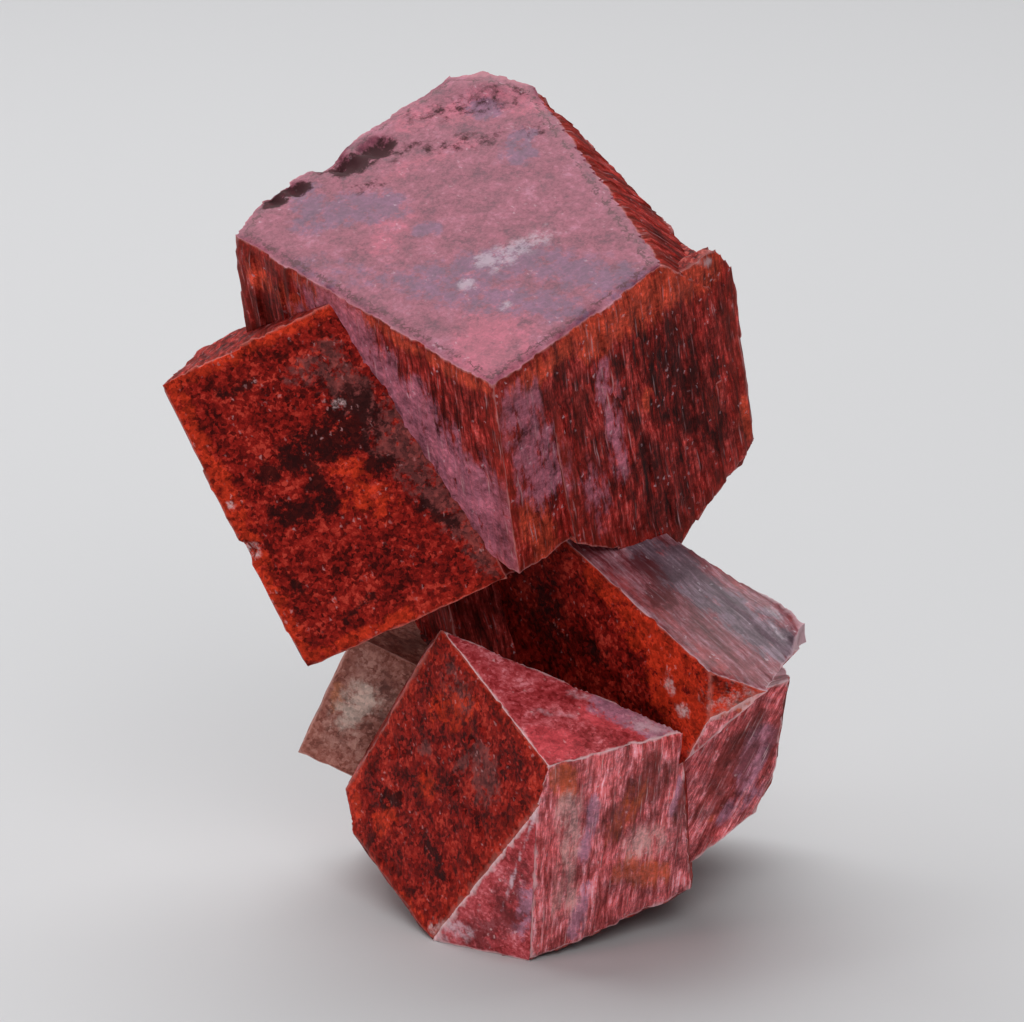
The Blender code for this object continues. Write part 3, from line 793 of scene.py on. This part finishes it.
def loose_crumbs(mesh, fewest=100):
    """The faces of closed bits that have fewer faces than a crystal could have."""
    seen, crumbs = set(), []
    for first in mesh.faces:
        if first in seen:
            continue
        seen.add(first)
        shell = [first]
        for face in shell:
            for edge in face.edges:
                for other in edge.link_faces:
                    if other not in seen:
                        seen.add(other)
                        shell.append(other)
        if len(shell) < fewest:
            crumbs += shell
    return crumbs


cluster = pieces[0]
for finish in FINISHES:
    for piece in pieces:
        piece.data.materials.append(bpy.data.materials.get(finish) or bpy.data.materials.new(finish))
for piece in pieces[1:]:
    unite(cluster, piece)
cluster.name = "apophyllite_cluster"
shaped = bmesh.new()
shaped.from_mesh(cluster.data)
bmesh.ops.triangulate(shaped, faces=shaped.faces)
crumbs = loose_crumbs(shaped)
bmesh.ops.delete(shaped, geom=crumbs, context='FACES')
bmesh.ops.translate(shaped, verts=shaped.verts, vec=-MIDDLE)
bmesh.ops.scale(shaped, verts=shaped.verts, vec=(MM, MM, MM))
open_edges = sum(1 for edge in shaped.edges if len(edge.link_faces) < 2)
shaped.to_mesh(cluster.data)
shaped.free()
print("cluster", len(cluster.data.polygons), "triangles,", open_edges, "open edges,",
      len(crumbs), "crumb faces removed")

# %% [markdown]
# The large flat ends should look smooth and the grainy faces should sparkle, so the mesh is
# shaded smooth, except where it turns sharply from one face to the next.

# %% Shading
SHARP_TURN = 38.0               # degrees

cluster.data.shade_smooth()
cluster.data.set_sharp_from_angle(angle=math.radians(SHARP_TURN))
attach(cluster, "root")
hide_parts("crystal_cluster")


# %% [markdown]
# A shader is a network of nodes. A small class keeps the making of it readable: each of its
# methods adds a node, links or fills the inputs, and gives back what comes out.

# %% Shader helpers
class Nodes:
    """A network of shader nodes, and a method for each kind of node that it needs."""

    def __init__(self, tree):
        self.tree = tree

    def add(self, kind, inputs, **settings):
        """Add a node with its settings. An input is either linked or filled with a value."""
        node = self.tree.nodes.new("ShaderNode" + kind)
        for name, value in settings.items():
            setattr(node, name, value)
        for name, value in inputs.items():
            if isinstance(value, bpy.types.NodeSocket):
                self.tree.links.new(value, node.inputs[name])
            else:
                node.inputs[name].default_value = value
        return node

    def calc(self, operation, first, second=0.0, third=0.0, clamp=False):
        inputs = {0: first, 1: second, 2: third}
        return self.add("Math", inputs, operation=operation, use_clamp=clamp).outputs[0]

    def times(self, first, second, clamp=False):
        return self.calc('MULTIPLY', first, second, clamp=clamp)

    def blend(self, first, share, second):
        """So much of the first value, and the rest of the second."""
        return self.calc('ADD', self.times(first, share), self.times(second, 1.0 - share))

    def remap(self, value, low, high, to_low=0.0, to_high=1.0, how='LINEAR'):
        inputs = {"Value": value, "From Min": low, "From Max": high, "To Min": to_low, "To Max": to_high}
        return self.add("MapRange", inputs, interpolation_type=how).outputs["Result"]

    def mix(self, amount, first, second, how='MIX'):
        inputs = {0: amount, 6: first, 7: second}
        return self.add("Mix", inputs, data_type='RGBA', blend_type=how).outputs[2]

    def channel(self, colour, number):
        """One of the three numbers that a colour holds."""
        return self.add("SeparateColor", {0: colour}).outputs[number]

    def uv(self, name):
        """A place in one of the crystal's UV maps."""
        return self.add("UVMap", {}, uv_map=name).outputs[0]

    def axes(self, vector):
        return self.add("SeparateXYZ", {0: vector}).outputs

    def scaled(self, place, amount):
        return self.add("VectorMath", {0: place, "Scale": amount}, operation='SCALE').outputs[0]

    def stretched(self, place, across, along):
        """Stretch a place by a factor across the growth lines and another along them."""
        return self.add("VectorMath", {0: place, 1: (across, along, 1.0)}, operation='MULTIPLY').outputs[0]

    def shaken(self, place, by, scale, detail):
        """Move a place a little, by the colours of a noise."""
        wobble = self.add("TexNoise", {"Vector": place, "Scale": scale, "Detail": detail}).outputs[1]
        return self.add("VectorMath", {0: wobble, 1: by, 2: place}, operation='MULTIPLY_ADD').outputs[0]

    def noise(self, place, scale, detail, rough=0.5, distortion=0.0):
        inputs = {"Vector": place, "Scale": scale, "Detail": detail, "Roughness": rough,
                  "Distortion": distortion}
        return self.add("TexNoise", inputs).outputs[0]

    def cells(self, place, scale, detail=0.0):
        """Cells around scattered centres: the distance to the centre, and a colour by chance."""
        outputs = self.add("TexVoronoi", {"Vector": place, "Scale": scale, "Detail": detail}).outputs
        return outputs["Distance"], outputs["Color"]


# %% [markdown]
# Every finish has some grain, growth lines, worn edges and patches, in its own measure. So each
# of the four is a node group, made once and placed in each material. A group takes numbers and
# gives masks: numbers that say how much of an effect there is at a place.

# %% A node group
class Group(Nodes):
    """A node group that takes numbers, each with a usual value, and gives masks."""

    def __init__(self, name, usual):
        super().__init__(bpy.data.node_groups.new(name, 'ShaderNodeTree'))
        for label, value in usual.items():
            self.socket(label, 'INPUT').default_value = value
        self.given = self.tree.nodes.new("NodeGroupInput").outputs

    def socket(self, label, way):
        return self.tree.interface.new_socket(label, in_out=way, socket_type='NodeSocketFloat')

    def gives(self, masks):
        """Name what comes out of the group, and return the finished network."""
        for label in masks:
            self.socket(label, 'OUTPUT')
        result = self.tree.nodes.new("NodeGroupOutput")
        for label, value in masks.items():
            self.tree.links.new(value, result.inputs[label])
        return self.tree


# %% [markdown]
# Grain is a broad mottle with a finer one on it, small crumbs that each have their own tone,
# dark specks, and glints, which are painted highlights where a tiny face would catch the light.
# Specks and glints are the middles of chance cells, and they come in swarms.

# %% Grain, with painted glints
def grain_group():
    nodes = Group("grain", {"Scale": 1.0})
    place = nodes.scaled(nodes.uv("growth"), nodes.given["Scale"])
    broad = nodes.noise(place, 0.6, 8.0, 0.7)
    fine = nodes.noise(place, 4.2, 5.0, 0.75, 0.6)
    moved = nodes.shaken(place, (0.4, 0.4, 0.0), 5.0, 4.0)
    crumb = nodes.cells(moved, 5.5)[1]

    middle = nodes.cells(moved, 3.8, 1.0)[0]
    speck = nodes.remap(nodes.calc('ADD', middle, nodes.times(fine, 0.5)), 0.52, 0.40)
    speck_swarm = nodes.remap(nodes.noise(place, 0.9, 3.0), 0.48, 0.60)

    # painted glints: bright dots that stand in for tiny faces catching the light
    middle, tone = nodes.cells(nodes.stretched(moved, 1.0, 0.55), 4.5)
    painted_glint = nodes.remap(nodes.calc('MULTIPLY_ADD', fine, 0.7, middle), 0.66, 0.48)
    highlight_swarm = nodes.remap(broad, 0.46, 0.54)
    few = nodes.remap(nodes.channel(tone, 1), 0.72, 0.82)
    return nodes.gives({"Mottle": nodes.blend(broad, 0.65, fine),
                        "Crumbs": nodes.channel(crumb, 0),
                        "Specks": nodes.times(speck, speck_swarm),
                        "Painted Glints": nodes.times(nodes.times(painted_glint, highlight_swarm), few)})


# %% [markdown]
# Growth lines are noise that is squeezed across the lines and drawn out along them. Short pale
# strokes lie between them, and slow bands make some strips of a face darker than others.

# %% Growth lines
def lines_group():
    nodes = Group("growth lines", {"Density": 1.0})
    place = nodes.scaled(nodes.uv("growth"), nodes.given["Density"])
    swayed = nodes.shaken(place, (0.25, 0.0, 0.0), 0.5, 3.0)

    def drawn_out(across, along, detail, rough=0.6):
        return nodes.noise(nodes.stretched(swayed, across, along), 1.0, detail, rough)

    middle, tone = nodes.cells(nodes.stretched(swayed, 8.5, 0.5), 1.0)
    short = nodes.remap(middle, 0.45, 0.15)
    few = nodes.remap(nodes.channel(tone, 0), 0.66, 0.80)
    swarm = nodes.remap(drawn_out(2.2, 0.35, 3.0), 0.45, 0.6)
    return nodes.gives({"Lines": nodes.blend(drawn_out(4.6, 0.62, 6.0, 0.75), 0.65,
                                             drawn_out(1.5, 0.16, 5.0, 0.65)),
                        "Strokes": nodes.times(nodes.times(short, few), swarm),
                        "Bands": drawn_out(0.7, 0.07, 4.0)})


# %% [markdown]
# A worn edge is pale, partly because it is covered in tiny cracks and partly as a painted
# highlight where the edge catches the light. Its width changes along the way. The rim is a wider
# painted glow that fades inwards, as if light came through the thin edge, and the groove is a
# broken dark line a little inside the edge. The height of the relief is passed on as it is.

# %% Worn edges, with painted highlights and glow
def edges_group():
    nodes = Group("edge wear and painted light", {"Width": 0.12, "Glow Width": 0.9})
    place = nodes.uv("growth")
    away, height, _ = nodes.axes(nodes.uv("shape"))
    broken = nodes.noise(place, 1.6, 4.0)
    width = nodes.times(nodes.given["Width"], nodes.remap(broken, 0.35, 0.65, 0.3, 1.8))
    glow_width = nodes.times(nodes.given["Glow Width"], nodes.remap(broken, 0.3, 0.7, 0.4, 1.6))
    glow_fade = nodes.times(nodes.calc('DIVIDE', away, glow_width), -1.0)
    inset = nodes.remap(nodes.noise(place, 2.6, 6.0, 0.7), 0.3, 0.7, 0.15, 0.80)
    beside = nodes.calc('ABSOLUTE', nodes.calc('SUBTRACT', away, inset))
    # the pale edge line is wear with a painted highlight on it, and the rim is a painted glow
    return nodes.gives({
        "Edge Wear And Highlight": nodes.calc('SUBTRACT', 1.0, nodes.calc('DIVIDE', away, width), clamp=True),
        "Painted Rim Glow": nodes.calc('EXPONENT', glow_fade),
        "Groove": nodes.times(nodes.remap(beside, 0.13, 0.04), nodes.remap(broken, 0.42, 0.50)),
        "Height": height})


# %% [markdown]
# The strokes of colour were laid down with soft outlines. Noise now raises and lowers their
# strength, and only what is strong enough shows, so that their outlines become ragged. Frost
# fades in more slowly than the others.

# %% Patches with ragged outlines
def patches_group():
    nodes = Group("patches", {"Along": 1.0, "Ragged": 4.0})
    squeeze = nodes.add("CombineXYZ", {0: 1.0, 1: nodes.given["Along"], 2: 1.0}).outputs[0]
    place = nodes.add("VectorMath", {0: nodes.uv("growth"), 1: squeeze}, operation='MULTIPLY').outputs[0]
    masks = {}
    for number, (layer, names) in enumerate(PATCH_MAPS):
        strengths = nodes.axes(nodes.uv(layer))
        for axis, name in enumerate(names):
            shift = (7.0 * number, 11.0 * axis, 3.0)
            shifted = nodes.add("VectorMath", {0: place, 1: shift}).outputs[0]
            noise = nodes.calc('SUBTRACT', nodes.noise(shifted, 1.9, 7.0, 0.75), 0.5)
            ragged = nodes.calc('MULTIPLY_ADD', noise, nodes.given["Ragged"], 1.0)
            full = 1.05 if name == "Frost And Highlight" else 0.70
            masks[name] = nodes.remap(nodes.times(strengths[axis], ragged), 0.30, full, how='SMOOTHSTEP')
    return nodes.gives(masks)


GRAIN, LINES, EDGES, SPOTS = grain_group(), lines_group(), edges_group(), patches_group()
print("node groups", [made.name for made in (GRAIN, LINES, EDGES, SPOTS)])


# %% [markdown]
# A finish is a material: the groups feed a colour, a roughness and a bump into one Principled
# shader. The colours are laid over each other like glazes, each with its own mask, and the grain
# or the lines then darken and lighten them. Some glazes are painted light: glow, sheen, glints and
# edge highlights. Everything below is in linear colour.

# %% Setting up a finish
REFRACTION = 1.535              # how strongly apophyllite bends light
LOW_TONE, HIGH_TONE = 0.38, 0.62          # where a noise counts as fully dark and fully light
SMOOTH_TONE, ROUGH_TONE = 0.35, 0.65      # where a noise counts as fully smooth and fully rough


class Finish(Nodes):
    """A material. A mask or a value is told by its name in the groups, or is an output."""

    def __init__(self, name, gloss, density=1.0, edge=0.12, rim=0.9, along=1.0, ragged=4.0):
        material = bpy.data.materials[name]
        material.use_nodes = True
        super().__init__(material.node_tree)
        self.surface = self.tree.nodes["Principled BSDF"].inputs
        self.surface["IOR"].default_value = REFRACTION
        self.surface["Specular IOR Level"].default_value = gloss
        self.has = {}
        for source, values in ((GRAIN, {}), (LINES, {"Density": density}),
                               (EDGES, {"Width": edge, "Glow Width": rim}),
                               (SPOTS, {"Along": along, "Ragged": ragged})):
            node = self.add("Group", {}, node_tree=source)
            for label, value in values.items():
                node.inputs[label].default_value = value
            self.has.update({socket.name: socket for socket in node.outputs})

    def grain(self, share):
        """Make a grain of the mottle and, for the rest, the crumbs."""
        self.has["Grain"] = self.blend(self.has["Mottle"], share, self.has["Crumbs"])

    def ramp(self, value, *stops):
        """Start with a colour ramp through (place, red, green, blue) stops."""
        node = self.add("ValToRGB", {"Fac": self.has[value]})
        marks = node.color_ramp.elements
        while len(marks) < len(stops):
            marks.new(0.5)
        for mark, (place, *colour) in zip(marks, stops):
            mark.position = place
            mark.color = (*colour, 1.0)
        self.colour = node.outputs["Color"]

    def glaze(self, *layers):
        """Lay colours over the one so far: each is a mask, its strength and a colour."""
        for mask, strength, colour in layers:
            amount = self.times(self.has.get(mask, mask), strength, clamp=True)
            self.colour = self.mix(amount, self.colour, (*colour, 1.0))

    def shade(self, value, darkest, lightest):
        """Darken and lighten the colour with fine grain or lines, so that no patch is flat."""
        tone = self.remap(self.has[value], LOW_TONE, HIGH_TONE, darkest, lightest)
        self.colour = self.mix(1.0, self.colour, tone, how='MULTIPLY')

    def close(self, value, smoothest, roughest, height, bump, stained=0.0):
        """Finish with a roughness, higher on stains, and a bump of so many millimetres."""
        rough = self.remap(self.has[value], SMOOTH_TONE, ROUGH_TONE, smoothest, roughest)
        if stained:
            rough = self.calc('MULTIPLY_ADD', self.has["Stain"], stained, rough)
        inputs = {"Height": self.has[height], "Distance": bump * MM, "Strength": 1.0}
        lift = self.add("Bump", inputs).outputs[0]
        for name, output in (("Base Color", self.colour), ("Roughness", rough), ("Normal", lift)):
            self.tree.links.new(output, self.surface[name])


# %% [markdown]
# The pearly end looks across the thin layers that a crystal of this kind splits into, so it is
# pale, pinkish and even. Its stains are rougher than the rest. Its orange glow is painted light,
# its lavender haze is a painted sheen of the lamp above, its glints are painted highlights, and its
# pale edge is wear with a painted highlight on it.

# %% The pearly end
look = Finish("pearly_end", 0.25, edge=0.14, ragged=4.5)
look.ramp("Mottle", (0.40, 0.20, 0.040, 0.080), (0.47, 0.29, 0.064, 0.105),
          (0.54, 0.34, 0.086, 0.135), (0.62, 0.37, 0.130, 0.19))
look.glaze(("Painted Glow", 0.75, (0.50, 0.105, 0.165)),
           ("Painted Sheen", 0.75, (0.19, 0.088, 0.165)),
           ("Specks", 0.5, (0.085, 0.028, 0.055)))
look.shade("Crumbs", 0.90, 1.06)
look.shade("Mottle", 0.72, 1.2)
look.glaze(("Stain", 0.95, (0.038, 0.008, 0.010)),
           ("Frost And Highlight", 0.55, (0.58, 0.46, 0.53)),
           ("Painted Glints", 0.3, (0.75, 0.52, 0.60)),
           ("Groove", 0.85, (0.085, 0.012, 0.020)),
           ("Edge Wear And Highlight", 0.55, (0.62, 0.22, 0.27)))
look.close("Mottle", 0.32, 0.52, "Mottle", 0.03, stained=0.4)

# %% [markdown]
# The lined sides are deep red. Dark bands and stains lie under the lines, with a painted orange
# glow where light would come through. A lavender painted sheen, pale strokes and painted glints lie
# over them. The red rim glow is painted light, and the pale edge is wear with a painted highlight.

# %% The growth-lined sides
look = Finish("growth_lined", 0.06, along=0.3)
look.ramp("Lines", (0.40, 0.080, 0.005, 0.004), (0.47, 0.17, 0.009, 0.007),
          (0.53, 0.26, 0.017, 0.014), (0.60, 0.36, 0.050, 0.045))
look.glaze((look.remap(look.has["Bands"], 0.52, 0.62), 0.5, (0.075, 0.007, 0.006)),
           ("Painted Glow", 0.75, (0.58, 0.068, 0.032)),
           ("Stain", 0.80, (0.030, 0.003, 0.003)))
look.shade("Lines", 0.25, 1.75)
look.glaze(("Painted Sheen", 0.75, (0.45, 0.145, 0.205)))
look.shade("Mottle", 0.25, 1.78)
look.shade("Crumbs", 0.85, 1.12)
look.glaze(("Specks", 0.75, (0.018, 0.002, 0.002)),
           ("Strokes", 0.75, (0.58, 0.32, 0.34)),
           ("Painted Glints", 0.50, (0.80, 0.55, 0.62)),
           ("Painted Rim Glow", 0.30, (0.50, 0.050, 0.028)),
           ("Frost And Highlight", 0.7, (0.60, 0.40, 0.42)),
           ("Edge Wear And Highlight", 0.50, (0.72, 0.32, 0.31)))
look.close("Lines", 0.4, 0.6, "Lines", 0.06)

# %% The pink streaked sides
# painted light on these sides: an orange glow, a lavender sheen, glints, and a pale edge that is partly
# wear and partly highlight
look = Finish("pink_streaked", 0.2, along=0.25, density=1.2)
look.ramp("Lines", (0.40, 0.50, 0.050, 0.050), (0.47, 0.66, 0.105, 0.11),
          (0.53, 0.76, 0.18, 0.20), (0.60, 0.84, 0.36, 0.41))
look.glaze((look.remap(look.has["Bands"], 0.50, 0.62), 0.6, (0.38, 0.044, 0.042)))
look.shade("Lines", 0.42, 1.58)
look.glaze(("Painted Sheen", 0.65, (0.48, 0.25, 0.37)),
           ("Stain", 0.75, (0.15, 0.014, 0.010)),
           ("Painted Glow", 0.70, (0.62, 0.105, 0.030)),
           ("Frost And Highlight", 0.70, (0.85, 0.46, 0.44)))
look.shade("Mottle", 0.36, 1.64)
look.glaze(("Specks", 0.6, (0.08, 0.008, 0.008)),
           ("Strokes", 0.6, (0.90, 0.66, 0.68)),
           ("Painted Glints", 0.5, (0.92, 0.65, 0.68)),
           ("Edge Wear And Highlight", 0.8, (0.90, 0.60, 0.62)))
look.close("Lines", 0.35, 0.55, "Lines", 0.05)

# %% [markdown]
# The grainy sides are nearly black in their pits and have a painted glow where light would come
# through a thin corner, with a painted sheen and painted glints on them and a pale edge that is
# wear with a painted highlight. The frosted side is the same grain, far lighter, under a bloom of
# fine scratches, with the same kinds of painted light.

# %% The dark grainy sides
look = Finish("dark_grain", 0.06, rim=0.45, ragged=5.5)
look.grain(0.85)
look.ramp("Grain", (0.40, 0.10, 0.004, 0.003), (0.47, 0.19, 0.007, 0.005),
          (0.54, 0.28, 0.011, 0.007), (0.62, 0.38, 0.034, 0.021))
look.glaze(("Painted Sheen", 0.75, (0.17, 0.052, 0.050)),
           ("Painted Glow", 0.75, (0.60, 0.038, 0.011)),
           ("Painted Rim Glow", 0.4, (0.55, 0.036, 0.014)))
look.shade("Grain", 0.42, 1.5)
look.glaze(("Stain", 0.88, (0.022, 0.003, 0.003)),
           ("Specks", 0.80, (0.016, 0.002, 0.002)),
           ("Painted Glints", 0.55, (0.70, 0.34, 0.34)),
           ("Frost And Highlight", 0.8, (0.80, 0.55, 0.55)),
           ("Edge Wear And Highlight", 0.45, (0.72, 0.24, 0.20)))
look.close("Mottle", 0.45, 0.65, "Grain", 0.09)

# %% The frosted red side
look = Finish("frosted_red", 0.25)
look.grain(0.9)
look.ramp("Grain", (0.40, 0.42, 0.024, 0.028), (0.47, 0.54, 0.048, 0.056),
          (0.54, 0.62, 0.090, 0.105), (0.62, 0.70, 0.22, 0.25))
look.glaze(("Painted Glow", 0.7, (0.85, 0.090, 0.11)),
           ("Painted Sheen", 0.7, (0.50, 0.26, 0.38)),
           ("Stain", 0.75, (0.16, 0.012, 0.014)))
look.shade("Grain", 0.60, 1.35)
look.glaze(("Specks", 0.6, (0.12, 0.008, 0.010)),
           ("Frost And Highlight", 0.75, (0.86, 0.62, 0.70)),
           ("Painted Glints", 0.6, (0.95, 0.62, 0.64)),
           ("Edge Wear And Highlight", 0.9, (0.95, 0.70, 0.72)))
look.close("Mottle", 0.32, 0.55, "Grain", 0.06)

# %% [markdown]
# The silky side has fine lines that hardly stand out, so it keeps more of its shine. Its
# grey-lavender haze and the pale grey on its lines are a painted sheen of the lamp above, and its
# orange glow and glints are painted light. The bud is the only pale crystal; its orange glow and
# rim are painted glow. The faces at the back are plain dark grain, with painted glints and a pale
# edge that is partly a painted highlight.

# %% The silky sides
look = Finish("silky_side", 0.35, density=0.9, along=0.35)
look.ramp("Lines", (0.40, 0.24, 0.038, 0.048), (0.48, 0.33, 0.075, 0.092), (0.60, 0.41, 0.16, 0.19))
# the grey-lavender haze and the pale grey on the lines are a painted sheen, the orange a painted glow
look.glaze(("Painted Glow", 0.7, (0.48, 0.060, 0.062)),
           ("Painted Sheen", 0.85, (0.16, 0.110, 0.145)),
           (look.remap(look.has["Lines"], 0.48, 0.60), 0.3, (0.42, 0.33, 0.40)),
           ("Frost And Highlight", 0.8, (0.60, 0.50, 0.56)))
look.shade("Lines", 0.68, 1.28)
look.shade("Mottle", 0.55, 1.42)
look.glaze(("Stain", 0.80, (0.12, 0.008, 0.010)),
           ("Specks", 0.7, (0.06, 0.010, 0.014)),
           ("Strokes", 0.45, (0.62, 0.50, 0.56)),
           ("Painted Glints", 0.6, (0.80, 0.68, 0.76)),
           ("Edge Wear And Highlight", 0.65, (0.78, 0.50, 0.56)))
look.close("Lines", 0.28, 0.45, "Lines", 0.04)

# %% The cream bud
look = Finish("cream_bud", 0.25)
look.grain(0.85)
look.ramp("Grain", (0.40, 0.25, 0.075, 0.055), (0.48, 0.35, 0.125, 0.095), (0.60, 0.44, 0.23, 0.19))
look.glaze(("Painted Glow", 0.7, (0.62, 0.22, 0.095)),
           ("Frost And Highlight", 0.85, (0.72, 0.56, 0.48)),
           ("Stain", 0.7, (0.10, 0.035, 0.028)),
           ("Painted Rim Glow", 0.45, (0.46, 0.10, 0.06)))
look.shade("Grain", 0.62, 1.3)
look.glaze(("Specks", 0.8, (0.035, 0.012, 0.010)),
           ("Edge Wear And Highlight", 0.5, (0.75, 0.40, 0.35)))
look.close("Mottle", 0.35, 0.55, "Grain", 0.05)

# %% The rough back
look = Finish("rough_back", 0.1)
look.grain(0.85)
look.ramp("Grain", (0.40, 0.13, 0.007, 0.006), (0.47, 0.22, 0.012, 0.010),
          (0.54, 0.30, 0.024, 0.019), (0.62, 0.38, 0.07, 0.055))
look.shade("Grain", 0.4, 1.45)
look.glaze(("Specks", 0.8, (0.018, 0.003, 0.003)),
           ("Painted Glints", 0.5, (0.62, 0.32, 0.32)),
           ("Edge Wear And Highlight", 0.4, (0.60, 0.22, 0.20)))
look.close("Mottle", 0.45, 0.7, "Grain", 0.1)
print("materials", FINISHES)


# %% [markdown]
# The cluster stands on a plain pale floor that curves up far behind it. A wide soft lamp hangs
# above and a little behind, so that the pearly end mirrors it, and weak fills light the front.

# %% Floor
FLOOR_HALF = 1.2                # all in metres
FLOOR_FRONT, BEND_START, BEND_RADIUS, WALL_TOP = -0.9, 0.5, 0.3, 1.1
BEND_STEPS = 12


def sweep():
    """A pale floor that curves up into a backdrop."""
    profile = [(FLOOR_FRONT, 0.0)]
    for step in range(BEND_STEPS + 1):
        turn = step * math.pi / 2 / BEND_STEPS
        profile.append((BEND_START + BEND_RADIUS * math.sin(turn), BEND_RADIUS * (1.0 - math.cos(turn))))
    profile.append((BEND_START + BEND_RADIUS, WALL_TOP))
    made = bmesh.new()
    rows = [[made.verts.new((x, y, z)) for x in (-FLOOR_HALF, FLOOR_HALF)] for y, z in profile]
    for lower, upper in zip(rows, rows[1:]):
        made.faces.new((lower[0], lower[1], upper[1], upper[0]))
    data = bpy.data.meshes.new("floor")
    made.to_mesh(data)
    made.free()
    data.shade_smooth()
    floor = bpy.data.objects.new("floor", data)
    bpy.context.scene.collection.objects.link(floor)
    paint = bpy.data.materials.new("floor_paint")
    paint.use_nodes = True
    surface = paint.node_tree.nodes["Principled BSDF"].inputs
    surface["Base Color"].default_value = (0.62, 0.62, 0.63, 1.0)
    surface["Roughness"].default_value = 0.8
    data.materials.append(paint)
    return floor


sweep()

# %% Lamps and surroundings
MID_HEIGHT = 22.7               # what the camera looks at, in millimetres above the floor
LOOK_AT = (Vector((0.0, 0.0, MID_HEIGHT)) - MIDDLE) * MM
LAMPS = (                       # name, place from the cluster's middle, width, height, watts
    ("softbox", (-0.08, 0.20, 0.40), 0.60, 0.48, 2.5),
    ("front_fill", (0.06, -0.40, 0.32), 0.30, 0.30, 1.0),
    ("left_fill", (-0.40, -0.15, 0.12), 0.20, 0.20, 0.35),
)
for name, place, width, height, watts in LAMPS:
    light = bpy.data.lights.new(name, 'AREA')
    light.shape = 'RECTANGLE'
    light.size = width
    light.size_y = height
    light.energy = watts
    lamp = bpy.data.objects.new(name, light)
    bpy.context.scene.collection.objects.link(lamp)
    lamp.location = LOOK_AT + Vector(place)
    lamp.rotation_euler = (LOOK_AT - lamp.location).to_track_quat('-Z', 'Y').to_euler()

world = bpy.data.worlds.new("studio")
bpy.context.scene.world = world
world.use_nodes = True
around = world.node_tree.nodes["Background"].inputs
around["Color"].default_value = (0.80, 0.82, 0.86, 1.0)
around["Strength"].default_value = 0.12

# The film-like default view greys out strong reds, so colours are shown as they are.
bpy.context.scene.view_settings.view_transform = 'Standard'
print("lamps", [row[0] for row in LAMPS])

# %% Camera
CAMERA_RISE = 15.0              # degrees above the horizon
CAMERA_AWAY = 0.284             # metres from what it looks at
LENS, SENSOR = 199.6875, 36.0   # a long lens, in millimetres, so that edges hardly converge

camera_data = bpy.data.cameras.new("camera")
camera_data.lens = LENS
camera_data.sensor_width = SENSOR
camera = bpy.data.objects.new("camera", camera_data)
bpy.context.scene.collection.objects.link(camera)
tilt = math.radians(CAMERA_RISE)
camera.location = LOOK_AT + Vector((0.0, -math.cos(tilt), math.sin(tilt))) * CAMERA_AWAY
camera.rotation_euler = (math.radians(90.0 - CAMERA_RISE), 0.0, 0.0)
bpy.context.scene.camera = camera
print("camera", [round(value, 3) for value in camera.location])
